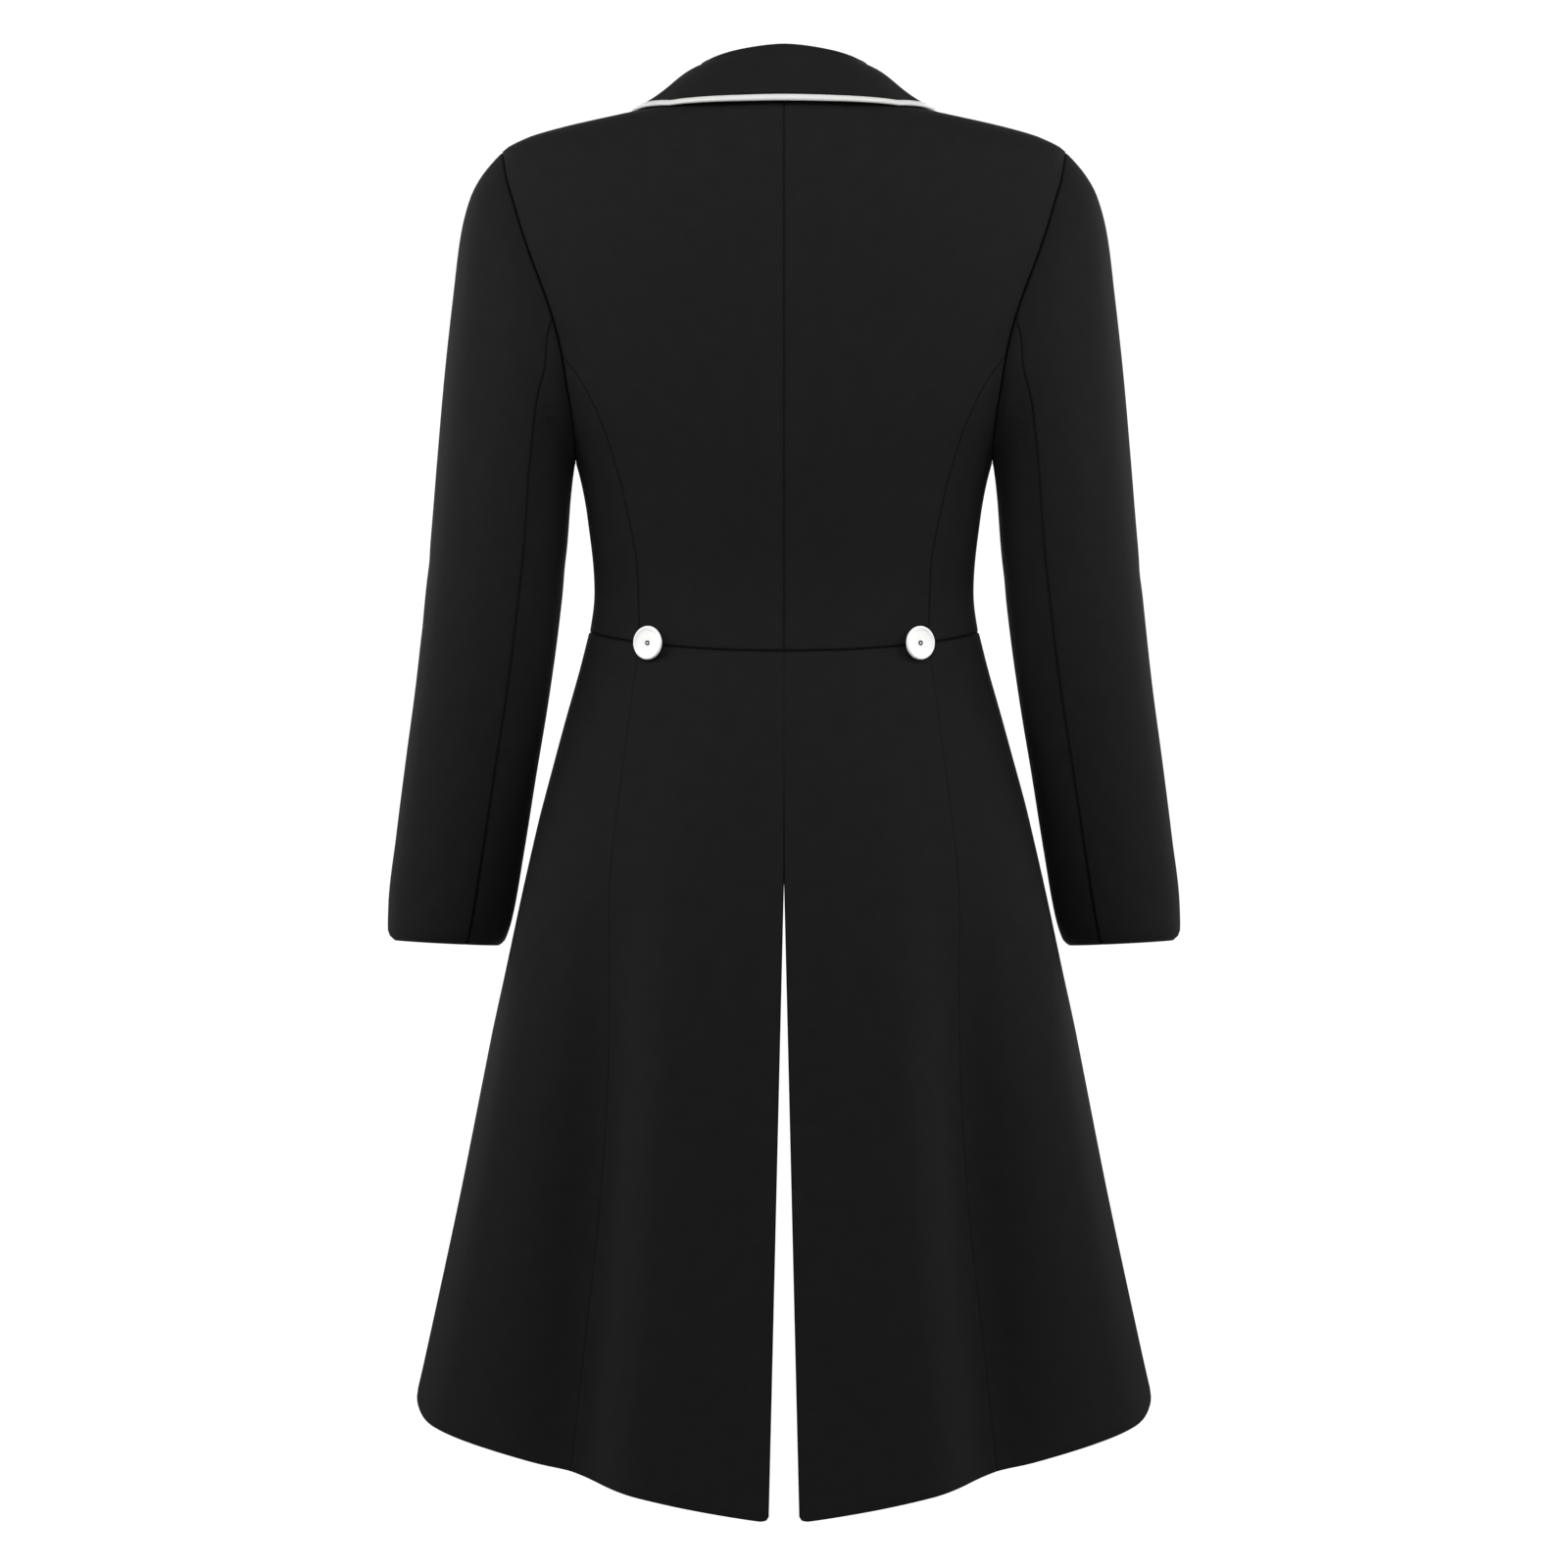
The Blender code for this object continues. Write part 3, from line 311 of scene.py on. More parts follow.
THIN = Edge(0.0, 0.0, 0.75, 0.75, 0.75, 0.0)
ROLL_STEPS = np.radians([0.0, 30.0, 60.0, 90.0])
TUCK_DEPTH = 0.3
EDGE_SHARE = 0.8
# Share of the cloth's colour left where the painted seam shade is darkest
PAINTED_SHADE_KEEP = 0.08
# Painted shade along the elbow seams grows this much darker towards the cuff, and how late it grows
CUFF_PAINTED_SHADE = 0.9
CUFF_PAINTED_SHADE_PACE = 4

# Columns of a shell's grid, after its points and normals
OUTER = 6
INNER = 7
# Painted seam shade of each point: how much its cloth colour is darkened
PAINTED_SHADE = 8
GRAIN = slice(9, 11)

# Soft creases: where each starts and ends, its half width, and its height (below zero for a trough)
Crease = namedtuple("Crease", "piece start end width height")
CREASE_END = 0.35
CREASE_TAPER = 0.1
CREASES = [
    Crease("sleeve_top_left", (222, 62, -96), (196, 60, -255), 15, -1.6),
    Crease("sleeve_under_left", (176, 52, -170), (176, 56, -300), 11, -2.4),
    Crease("sleeve_top_left", (206, 62, -150), (199, 63, -330), 16, 1.4),
    Crease("sleeve_top_left", (262, 6, -322), (214, 57, -352), 10, -0.9),
    Crease("sleeve_top_left", (266, -8, -368), (232, 46, -380), 9, -0.8),
    Crease("sleeve_top_left", (180, -42, -300), (236, -44, -318), 8, -1.8),
    Crease("sleeve_top_left", (184, -40, -334), (226, -46, -342), 7, -1.5),
    Crease("sleeve_under_left", (163, -14, -322), (172, 44, -338), 11, -0.6),
    Crease("sleeve_top_right", (-221, 62, -92), (-195, 60, -248), 15, -1.7),
    Crease("sleeve_under_right", (-176, 52, -166), (-177, 56, -312), 11, -2.2),
    Crease("sleeve_top_right", (-207, 62, -158), (-200, 63, -322), 16, 1.3),
    Crease("sleeve_top_right", (-263, 4, -330), (-216, 56, -358), 10, -0.9),
    Crease("sleeve_top_right", (-180, -42, -306), (-232, -45, -320), 8, -1.7),
    Crease("sleeve_top_right", (-185, -40, -342), (-222, -46, -350), 7, -1.4),
    Crease("sleeve_under_right", (-163, -14, -330), (-173, 44, -345), 11, -0.5),
    Crease("side_left", (139, 20, -352), (118, 58, -338), 10, -0.8),
    Crease("side_right", (-139, 20, -348), (-119, 58, -335), 10, -0.8),
    Crease("back_left", (60, 78, -352), (100, 72, -340), 14, -0.7),
    Crease("back_right", (-58, 78, -350), (-98, 72, -337), 14, -0.7),
    Crease("front_left", (136, -30, -350), (104, -76, -338), 12, -1.0),
    Crease("front_right", (-136, -30, -346), (-106, -76, -332), 12, -1.0),
    Crease("tail_side_left", (186, -20, -520), (246, -24, -900), 34, 3.0),
    Crease("tail_side_right", (-186, -20, -510), (-247, -24, -905), 34, 3.2),
    Crease("tail_back_left", (84, 126, -620), (82, 164, -990), 30, 4.0),
    Crease("tail_back_right", (-84, 126, -630), (-84, 164, -990), 30, 3.8),
    Crease("tail_back_left", (126, 94, -610), (155, 120, -985), 30, -7.0),
    Crease("tail_side_left", (126, 94, -610), (155, 120, -985), 30, -7.0),
    Crease("tail_back_right", (-126, 94, -620), (-155, 120, -985), 30, -6.6),
    Crease("tail_side_right", (-126, 94, -620), (-155, 120, -985), 30, -6.6),
]

# Buttonhole to the side of each front button
BUTTONHOLE_START = -12.9
BUTTONHOLE_END = -22.0
BUTTONHOLE_HALF_WIDTH = 1.5
BUTTONHOLE_THREAD = 0.62
BUTTONHOLE_LIFT = 0.25
STITCHES_PER_MM = 1.6
STITCH_SWELL = 0.16

# Outline of a button, from its back round the rim to its face, as shares of its radius and thickness
ButtonRow = namedtuple("ButtonRow", "radius height")
BUTTON = [
    ButtonRow(0.70, 0.0),
    ButtonRow(0.86, 0.06),
    ButtonRow(0.96, 0.22),
    ButtonRow(1.0, 0.45),
    ButtonRow(1.0, 0.66),
    ButtonRow(0.985, 0.84),
    ButtonRow(0.95, 0.96),
    ButtonRow(0.91, 1.0),
    ButtonRow(0.87, 0.98),
    ButtonRow(0.83, 0.90),
    ButtonRow(0.78, 0.79),
    ButtonRow(0.71, 0.73),
    ButtonRow(0.50, 0.69),
    ButtonRow(0.25, 0.67),
]
BUTTON_FACE = 0.66
BUTTON_BACK = [ButtonRow(0.80, 0.0), ButtonRow(1.0, 0.35)]
SHARP_EDGE = math.radians(40)
HOLE_DIAMETER = 1.15
HOLE_SPREAD = 2.5
HOLE_CORNERS = ((1, 1), (-1, 1), (-1, -1), (1, -1))
HOLE_LEVELS = (-1.0, 0.5, 2.0, 4.0)
HOLE_SIDES = 16
THREAD_RADIUS = 0.42
THREAD_SINK = 0.5
THREAD_RISE = 0.95
THREAD_BEND = 0.6
THREAD_SIDES = 8

# Floor and camera, in metres, the sensor in millimetres; the picture is this wide at the jacket
FLOOR = -1.40
FLOOR_RADIUS = 1.7
FLOOR_SIDES = 96
CAMERA_HEIGHT = -0.486
CAMERA_DISTANCE = 6.0
PICTURE_WIDTH = 1.152
SENSOR = 36.0

# Soft boxes, in metres and watts; the side lamps stand on the left and have twins on the right
Lamp = namedtuple("Lamp", "name place aim width height power")
LAMPS = [
    Lamp("back", (0.0, 1.8, 0.9), (0.0, 0.0, -0.15), 1.6, 1.0, 28.0),
    Lamp("front", (0.0, -2.0, 0.2), (0.0, 0.0, -0.15), 1.6, 1.0, 34.0),
]
SIDE_LAMPS = [
    Lamp("shoulder_", (1.0, 0.6, 0.3), (0.25, 0.0, -0.25), 0.5, 0.8, 9.3),
    Lamp("chest_", (1.0, -0.8, -0.1), (0.2, 0.0, -0.30), 0.5, 0.8, 7.0),
    Lamp("side_", (1.4, 0.0, -0.35), (0.0, 0.0, -0.40), 0.6, 0.8, 7.5),
]
FILL_LIGHT = 0.04
BACKDROP_LIGHT = 1.05


# Interpolation

def smooth_curve(places, values):
    """Return a function through the given values, or rows of values, that never overshoots them."""
    order = np.argsort(places)
    x = np.asarray(places, float)[order]
    y = np.asarray(values, float)[order]
    step = np.diff(x).reshape((-1,) + (1,) * (y.ndim - 1))
    rise = np.diff(y, axis=0) / step
    slope = np.zeros_like(y)
    slope[0] = rise[0]
    slope[-1] = rise[-1]
    same_way = rise[:-1] * rise[1:] > 0
    first = np.where(same_way, rise[:-1], 1.0)
    second = np.where(same_way, rise[1:], 1.0)
    before = 2 * step[1:] + step[:-1]
    after = step[1:] + 2 * step[:-1]
    slope[1:-1] = np.where(same_way, (before + after) / (before / first + after / second), 0.0)

    def value(place):
        place = np.clip(np.asarray(place, float), x[0], x[-1])
        i = np.clip(np.searchsorted(x, place) - 1, 0, len(x) - 2)
        width = np.diff(x)[i]
        t = (place - x[i]) / width
        if y.ndim > 1:
            wide = (-1,) + (1,) * (y.ndim - 1)
            t = t.reshape(wide)
            width = width.reshape(wide)
        return (
            y[i] * (1 + 2 * t) * (1 - t) ** 2
            + slope[i] * width * t * (1 - t) ** 2
            + y[i + 1] * t * t * (3 - 2 * t)
            + slope[i + 1] * width * t * t * (t - 1)
        )

    return value


def columns(table, key):
    """Return one smooth function for each other column of a table, by its key column."""
    places = [getattr(row, key) for row in table]
    return {
        name: smooth_curve(places, [getattr(row, name) for row in table])
        for name in table[0]._fields
        if name != key
    }


def ease(t):
    """Return a soft step from 0 to 1."""
    t = np.clip(t, 0.0, 1.0)
    return t * t * (3 - 2 * t)


def corner_rise(near):
    """Return the share of a round corner's rise; near is 0 where it starts and 1 at the edge."""
    return 1 - np.sqrt(1 - np.clip(near, 0, 1) ** 2)


body_section = columns(BODY, "height")
skirt_section = columns(SKIRT, "height")
side_back_across = columns(SIDE_BACK, "height")["across"]
pleat_across = columns(PLEAT, "height")["across"]
hem_height = columns(HEM, "across")["height"]
lapel_width = columns(LAPEL, "share")["width"]


# Body and skirt surfaces, by the angle from the centre back and the height

def half_of(section, behind, height):
    """Return how square and how deep a section is, in its back or front half."""
    square = np.where(behind, section["back_square"](height), section["front_square"](height))
    depth = np.where(behind, section["back"](height), section["front"](height))
    return square, depth


def section_point(section, angle, height):
    """Return the point of a rounded section; 0 is the centre back and 90 degrees the side."""
    angle = np.asarray(angle, float)
    height = np.asarray(height, float)
    square, depth = half_of(section, np.cos(angle) >= 0, height)
    x = section["half_width"](height) * np.sign(np.sin(angle)) * np.abs(np.sin(angle)) ** (2 / square)
    y = depth * np.sign(np.cos(angle)) * np.abs(np.cos(angle)) ** (2 / square)
    return np.stack(np.broadcast_arrays(x, y, height), axis=-1)


def angle_across(section, across, height, behind=True):
    """Return the angle at which a section is this far from the centre line."""
    square = section["back_square" if behind else "front_square"](height)
    share = np.asarray(across, float) / section["half_width"](height)
    angle = np.arcsin(np.sign(share) * np.clip(np.abs(share), 0, 1) ** (square / 2))
    return angle if behind else math.pi - angle


def angle_deep(section, depth, height):
    """Return the angle at which a section is this far behind (or in front of) its middle."""
    behind = depth >= 0
    square = section["back_square" if behind else "front_square"](height)
    reach = section["back" if behind else "front"](height)
    share = np.clip(abs(depth) / reach, 0, 1) ** (square / 2)
    return math.acos(share if behind else -share)


def body(angle, height):
    """Return the body's outer surface."""
    return section_point(body_section, angle, height)


def distance_off(section, points):
    """Return about how far points lie outside a surface, and the way that leads away from it."""

    def reach(p):
        x = np.abs(p[..., 0])
        y = np.abs(p[..., 1])
        z = p[..., 2]
        square, depth = half_of(section, p[..., 1] >= 0, z)
        return ((x / section["half_width"](z)) ** square + (y / depth) ** square) ** (1 / square)

    step = 0.2
    slope = [reach(points + step * axis) - reach(points - step * axis) for axis in np.eye(3)]
    slope = np.stack(slope, axis=-1) / (2 * step)
    steep = np.maximum(np.linalg.norm(slope, axis=-1), 1e-6)
    return (reach(points) - 1) / steep, slope / steep[..., None]


def waist_height(angle):
    """Return the height of the waist seam, which dips at the centre back."""
    return WAIST_SIDE + (WAIST_BACK - WAIST_SIDE) * np.clip(np.cos(angle), 0, 1) ** WAIST_CURVE


def pleat_angle(height):
    """Return the angle of the pleat line at a height."""
    return angle_across(skirt_section, pleat_across(height), height)


def skirt(angle, height):
    """Return the skirt's surface with the soft pleat below each waist button."""
    flat = section_point(skirt_section, angle, height)
    step = 1e-3
    ahead = section_point(skirt_section, angle + step, height)
    along = ahead - section_point(skirt_section, angle - step, height)
    pace = np.linalg.norm(along, axis=-1) / (2 * step)
    inward = np.stack([along[..., 1], -along[..., 0], np.zeros_like(pace)], axis=-1)
    inward = -inward / np.maximum(np.linalg.norm(inward, axis=-1, keepdims=True), 1e-9)
    inward = inward * np.where((inward * flat).sum(-1, keepdims=True) > 0, -1, 1)
    past = (angle - pleat_angle(height)) * pace
    share = np.where(past > 0, 1 - ease(past / PLEAT_SPREAD), 1 - ease(-past / PLEAT_ROLL))
    fall = np.clip((WAIST_SIDE - height) / (WAIST_SIDE - HEM_BACK), 0, 1)
    depth = PLEAT_DEPTH * ease(fall * PLEAT_PACE) * share
    return flat + inward * depth[..., None]


# Normals, lines and rings

def full_turn(count):
    """Return this many angles evenly round a circle."""
    return np.linspace(0, 2 * math.pi, count, endpoint=False)


def ring_faces(rings, sides):
    """Return the faces of a row of closed rings of points, with a cap at each end."""
    index = np.arange(rings * sides).reshape(rings, sides)
    beside = np.roll(index, -1, axis=1)
    quads = np.stack([index[:-1], beside[:-1], beside[1:], index[1:]], axis=-1).reshape(-1, 4)
    return quads.tolist() + [index[0, ::-1].tolist(), index[-1].tolist()]


def unit(vectors):
    return vectors / np.maximum(np.linalg.norm(vectors, axis=-1, keepdims=True), 1e-12)


def surface_normals(surface, angle, height):
    """Return the outward normals of a surface given by angle and height."""
    turn = surface(angle + TURN_STEP, height) - surface(angle - TURN_STEP, height)
    drop = surface(angle, height - DROP_STEP) - surface(angle, height + DROP_STEP)
    return unit(np.cross(turn, drop))


def grid_normals(points):
    """Return the normals of a grid of points, from its own rows and columns."""
    down = np.gradient(points, axis=0)
    across = np.gradient(points, axis=1)
    return unit(np.cross(down, across))


def walked(points):
    """Return the length walked along a row of points."""
    return np.concatenate([[0.0], np.cumsum(np.linalg.norm(np.diff(points, axis=0), axis=-1))])


def even_line(surface, line, count):
    """Return a line of (angle, height) again, with points evenly spaced along the cloth."""
    line = np.asarray(line, float)
    length = walked(surface(line[:, 0], line[:, 1]))
    spots = np.linspace(0, length[-1], count)
    return np.stack([np.interp(spots, length, line[:, k]) for k in (0, 1)], axis=-1)


def armhole_point(turn):
    """Return (angle, height) on the armhole; turn is -90 at the underarm and 90 at the tip."""
    height = ARMHOLE_MIDDLE + ARMHOLE_HALF * math.sin(turn)
    reach = ARMHOLE_BACK if math.cos(turn) >= 0 else ARMHOLE_FRONT
    depth = reach * math.cos(turn) * (1 - ARMHOLE_SKEW * math.sin(turn))
    return angle_deep(body_section, depth, height), height


def armhole_turn(height):
    """Return the turn at which the back of the armhole has this height."""
    return math.asin((height - ARMHOLE_MIDDLE) / ARMHOLE_HALF)


def armhole_line(start, stop, count):
    """Return (angle, height) along a stretch of the armhole."""
    turns = np.linspace(start, stop, FINE * count)
    return even_line(body, [armhole_point(t) for t in turns], count)


def shoulder_line():
    """Return (angle, height) along the shoulder from the neck to just short of the tip."""
    heights = np.linspace(NECK_POINT, SHOULDER_TIP, FINE * RIDGE_ROWS)
    return even_line(body, [(math.pi / 2, h) for h in heights], RIDGE_ROWS)[:-1]


def side_back_line():
    """Return (angle, height) down the side-back seam."""
    foot = waist_height(angle_across(body_section, SIDE_BACK[-1].across, SIDE_BACK[-1].height))
    line = [armhole_point(armhole_turn(SIDE_BACK_START))]
    for height in np.linspace(SIDE_BACK_START, foot, LOW_ROWS)[1:]:
        line.append((float(angle_across(body_section, side_back_across(height), height)), height))
    return np.array(line)


def side_line():
    """Return (angle, height) down the side seam."""
    start, top = armhole_point(UNDERARM_SEAM)
    foot = waist_height(SIDE_SEAM)
    shares = np.linspace(0, 1, LOW_ROWS)
    return np.array([(start + (SIDE_SEAM - start) * ease(s), top + (foot - top) * s) for s in shares])


def waist_line(start, stop, count):
    """Return (angle, height) along the waist seam."""
    return np.array([(a, float(waist_height(a))) for a in np.linspace(start, stop, count)])


def patch(left, right, top=None, bottom=None):
    """Return angles and heights of a grid between edge lines, given as rows of (angle, height)."""
    count = len(top) if top is not None else len(bottom)
    across = np.linspace(0, 1, count)[None, :, None]
    grid = left[:, None] * (1 - across) + right[:, None] * across
    down = np.linspace(0, 1, len(left))[:, None, None]
    if top is not None:
        grid = grid + (top - grid[0])[None] * (1 - down)
    if bottom is not None:
        grid = grid + (bottom - grid[-1])[None] * down ** 2
    return grid[..., 0], grid[..., 1]


# Shells of cloth

def crease_height(name, points):
    """Return how far the creases of a piece lift its points."""
    height = np.zeros(points.shape[:-1])
    for crease in CREASES:
        if crease.piece != name:
            continue
        start = np.array(crease.start, float)
        run = np.array(crease.end, float) - start
        share = np.clip(((points - start) @ run) / (run @ run), 0, 1)
        off = np.linalg.norm(points - start - share[..., None] * run, axis=-1)
        along = CREASE_TAPER + (1 - 2 * CREASE_TAPER) * share
        fade = CREASE_END + (1 - CREASE_END) * np.sin(math.pi * along)
        height += crease.height * fade * np.exp(-((off / crease.width) ** 2))
    return height


def roll_edge(grid, edge, axis, last):
    """Add rows along one edge of a grid that round its two faces off to the rim."""
    grid = np.moveaxis(grid, axis, 0)
    if last:
        grid = grid[::-1]
    first, second = grid[0], grid[1]
    span = np.linalg.norm(second[..., :3] - first[..., :3], axis=-1, keepdims=True)
    fit = np.minimum(1.0, EDGE_SHARE * span / edge.width)
    steps = [(turn, edge.lap, 1 - math.sin(turn)) for turn in ROLL_STEPS]
    if edge.tuck:
        steps.insert(0, (ROLL_STEPS[0], edge.lap + edge.tuck, TUCK_DEPTH))
    rows = []
    for turn, lap, depth in steps:
        walk = edge.width * (1 - math.cos(turn)) * fit - lap
        row = first + (second - first) * walk / np.maximum(span, 1e-9)
        row[..., OUTER] = np.maximum(first[..., OUTER], edge.outer * depth)
        row[..., INNER] = np.maximum(first[..., INNER], edge.inner * (1 - math.sin(turn)))
        # Painted shade in the cloth's colour, darkest at the rim and fading across the rounded edge
        row[..., PAINTED_SHADE] = np.maximum(first[..., PAINTED_SHADE], edge.shade * math.cos(turn))
        rows.append(row)
    grid = np.concatenate([np.stack(rows), grid[1:]])
    if last:
        grid = grid[::-1]
    return np.moveaxis(grid, 0, axis)


def add_mesh(name, points, faces, materials, face_material=None, grain=None, shade=None):
    """Make a smooth mesh object from points in millimetres, with its grain and the seam shade painted
    into its colour.
    """
    mesh = bpy.data.meshes.new(name)
    mesh.from_pydata((np.asarray(points) * METRES).tolist(), [], [list(map(int, f)) for f in faces])
    mesh.update()
    for material in materials:
        mesh.materials.append(material)
    if face_material is not None:
        mesh.polygons.foreach_set("material_index", np.asarray(face_material, np.int32))
    mesh.polygons.foreach_set("use_smooth", np.ones(len(mesh.polygons), bool))
    if grain is not None:
        layer = mesh.uv_layers.new(name="grain")
        corner = np.zeros(len(mesh.loops), np.int32)
        mesh.loops.foreach_get("vertex_index", corner)
        layer.data.foreach_set("uv", np.asarray(grain, np.float32)[corner].ravel())
    if shade is not None:
        # The seam attribute holds the painted seam shade that darkens the cloth's colour
        seam = mesh.attributes.new("seam", "FLOAT", "POINT")
        seam.data.foreach_set("value", np.asarray(shade, np.float32))
    piece = bpy.data.objects.new(name, mesh)
    bpy.context.scene.collection.objects.link(piece)
    return piece


def grain_of(points):
    """Return the lengths along the cloth, across and down, of each point of a grid."""
    across = np.linalg.norm(np.diff(points, axis=1), axis=-1)
    down = np.linalg.norm(np.diff(points, axis=0), axis=-1)
    u = np.concatenate([np.zeros((len(points), 1)), np.cumsum(across, axis=1)], axis=1)
    v = np.concatenate([np.zeros((1, points.shape[1])), np.cumsum(down, axis=0)])
    return u, v


def make_shell(node, points, normals, edges, side=1, wall=WALL, held="hung"):
    """Make the cloth shell of a node; edges are its first row, last row, first and last column."""
    points = points * [side, 1, 1]
    normals = normals * [side, 1, 1]
    points = points + normals * crease_height(node, points)[..., None]
    u, v = grain_of(points)
    if held == "hung":
        v = v + points[0, :, 2].max() - points[0, :, 2]
    roundings_and_painted_shade = np.zeros(points.shape[:2] + (3,))
    grid = np.concatenate([points, normals, roundings_and_painted_shade, u[..., None], v[..., None]], axis=-1)
    for (axis, last), edge in zip(((1, False), (1, True), (0, False), (0, True)), edges[2:] + edges[:2]):
        grid = roll_edge(grid, edge, axis, last)
    rows, cols = grid.shape[:2]
    place = grid[..., :3]
    facing = unit(grid[..., 3:6])
    skins = [place - facing * sunk[..., None] for sunk in (grid[..., OUTER], wall - grid[..., INNER])]
    count = rows * cols
    index = np.arange(count).reshape(rows, cols)
    corners = [index[:-1, :-1], index[1:, :-1], index[1:, 1:], index[:-1, 1:]]
    quads = np.stack(corners, axis=-1).reshape(-1, 4)
    r, c = rows // 2, cols // 2
    turn = np.cross(place[r + 1, c] - place[r, c], place[r, c + 1] - place[r, c])
    if turn @ facing[r, c] < 0:
        quads = quads[:, ::-1]
    rim = np.concatenate([index[0], index[1:, -1], index[-1, -2::-1], index[-2:0:-1, 0]])
    beyond = np.roll(rim, -1)
    rim_quads = np.stack([rim, rim + count, beyond + count, beyond], axis=-1)
    if turn @ facing[r, c] >= 0:
        rim_quads = rim_quads[:, ::-1]
    faces = np.concatenate([quads, quads[:, ::-1] + count, rim_quads])
    kinds = np.concatenate([np.zeros(len(quads)), np.ones(len(quads)), np.zeros(len(rim_quads))])
    # Painted seam shade of each point, the same on both skins
    shade = np.concatenate([grid[..., PAINTED_SHADE].ravel()] * 2)
    grain = np.concatenate([grid[..., GRAIN].reshape(-1, 2)] * 2)
    piece = add_mesh(
        "cloth_" + node,
        np.concatenate([skin.reshape(-1, 3) for skin in skins]),
        faces,
        [cloth, cloth_inside],
        kinds,
        grain,
        shade,
    )
    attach(piece, "root")
    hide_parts(node)


def make_panel(node, surface, angles, levels, edges, side):
    """Make the shell of a panel that lies on a surface."""
    make_shell(node, surface(angles, levels), surface_normals(surface, angles, levels), edges, side)


# Body panels

def inner_levels(outside, top, foot):
    """Return heights down the inner edge of a panel, for the rows that end on its outer edge."""
    length = walked(body(outside[:, 0], outside[:, 1]))
    ridge = RIDGE_ROWS - 1
    above = top + (TIP_LEVEL - top) * length / length[ridge]
    below = TIP_LEVEL + (foot - TIP_LEVEL) * (length - length[ridge]) / (length[-1] - length[ridge])
    return np.where(np.arange(len(length)) < ridge, above, below)


def make_back(side, tag):
    start = armhole_turn(SIDE_BACK_START)
    armhole = armhole_line(math.pi / 2, start, ARMHOLE_ROWS)
    outside = np.concatenate([shoulder_line(), armhole, side_back_line()[1:]])
    heights = inner_levels(outside, NAPE, WAIST_BACK)
    inside = np.stack([np.zeros(len(heights)), heights], axis=-1)
    bottom = waist_line(0.0, outside[-1, 0], BACK_COLUMNS)
    angles, levels = patch(inside, outside, bottom=bottom)
    make_panel("back_" + tag, body, angles, levels, (SEWN, WAIST_EDGE, SEWN, SEWN), side)


def make_side(side, tag):
    left = side_back_line()
    right = side_line()
    top = armhole_line(armhole_turn(SIDE_BACK_START), UNDERARM_SEAM, SIDE_COLUMNS)
    bottom = waist_line(left[-1, 0], right[-1, 0], SIDE_COLUMNS)
    angles, levels = patch(left, right, top, bottom)
    make_panel("side_" + tag, body, angles, levels, (SEWN, WAIST_EDGE, SEWN, SEWN), side)


def front_edge_across(height):
    """Return where the front edge lies, from the neck down the roll line to the lap."""
    slope = (ROLL_TOP.across + FRONT_LAP) / (ROLL_TOP.height - BREAK_POINT)
    straight = ROLL_TOP.across - slope * (ROLL_TOP.height - height)
    gap = straight + FRONT_LAP
    return -FRONT_LAP + 0.5 * (gap + np.sqrt(gap * gap + ROLL_BEND))


def front_edge_angle(height):
    """Return the angle of the front edge at a height."""
    return angle_across(body_section, front_edge_across(height), height, behind=False)


def front_lap(angle, height, over):
    """Return how far the lapped front stands off, clear of the other front and its lapel."""
    if not over:
        return np.zeros(np.broadcast(angle, height).shape)
    across = body(angle, height)[..., 0]
    below_neck = ease((LAP_TOP - height) / LAP_RUN)
    facing = (LAPEL_WALL + LAPEL_GAP) * ease((height - FACING_END) / FACING_FADE)
    off = WALL + LAYER + facing
    return off * below_neck * ease((LAP_START - across) / (LAP_START - LAP_FULL))


def front_surface(over):
    """Return the surface of one front by angle and height."""

    def surface(angle, height):
        angle = np.asarray(angle, float)
        height = np.asarray(height, float)
        off = front_lap(angle, height, over)
        return body(angle, height) + surface_normals(body, angle, height) * off[..., None]

    return surface


def front_hem(angle):
    """Return the height of the front's lower edge, which dips to a soft point in front."""
    start = math.radians(TAIL_FRONT_TOP + FRONT_HEM_START)
    past = np.clip((angle - start) / (math.pi - start), 0, 1)
    return WAIST_SIDE + (FRONT_HEM - WAIST_SIDE) * np.sin(math.pi / 2 * past) ** FRONT_HEM_CURVE


def make_front(side, tag, over):
    armhole = armhole_line(math.radians(-270), UNDERARM_SEAM, ARMHOLE_ROWS)
    outside = np.concatenate([shoulder_line(), armhole, side_line()[1:]])
    foot = FRONT_HEM + FRONT_POINT_ROUNDING
    levels = inner_levels(outside, NECK_POINT, foot)
    inside = np.stack([front_edge_angle(levels), levels], axis=-1)
    angles = np.linspace(inside[-1, 0], outside[-1, 0], FRONT_COLUMNS)
    across = body(angles, np.full_like(angles, foot))[:, 0]
    near = 1 - (across - across[0]) / FRONT_POINT_WIDTH
    bottom = np.stack([angles, front_hem(angles) + FRONT_POINT_ROUNDING * corner_rise(near)], axis=-1)
    angles, levels = patch(inside, outside, bottom=bottom)
    make_panel("front_" + tag, front_surface(over), angles, levels, (SEWN, FREE, FREE, SEWN), side)


# Tails

def vent_across(height):
    """Return how far the back edge of the tail lies from the centre line."""
    open_share = np.clip((VENT_TOP - height) / (VENT_TOP - HEM_BACK), 0, 1)
    return VENT_HALF_GAP * open_share


def tail_grid(top_angles, foot_heights, line_at):
    """Return angles and heights from the waist seam to the hem; line_at gives each row's angles."""
    angles = np.zeros((TAIL_ROWS, len(top_angles)))
    levels = np.zeros_like(angles)
    top = waist_height(top_angles)
    for i, down in enumerate(np.linspace(0, 1, TAIL_ROWS)):
        levels[i] = top + (foot_heights - top) * down
        angles[i] = line_at(down, levels[i])
    return angles, levels


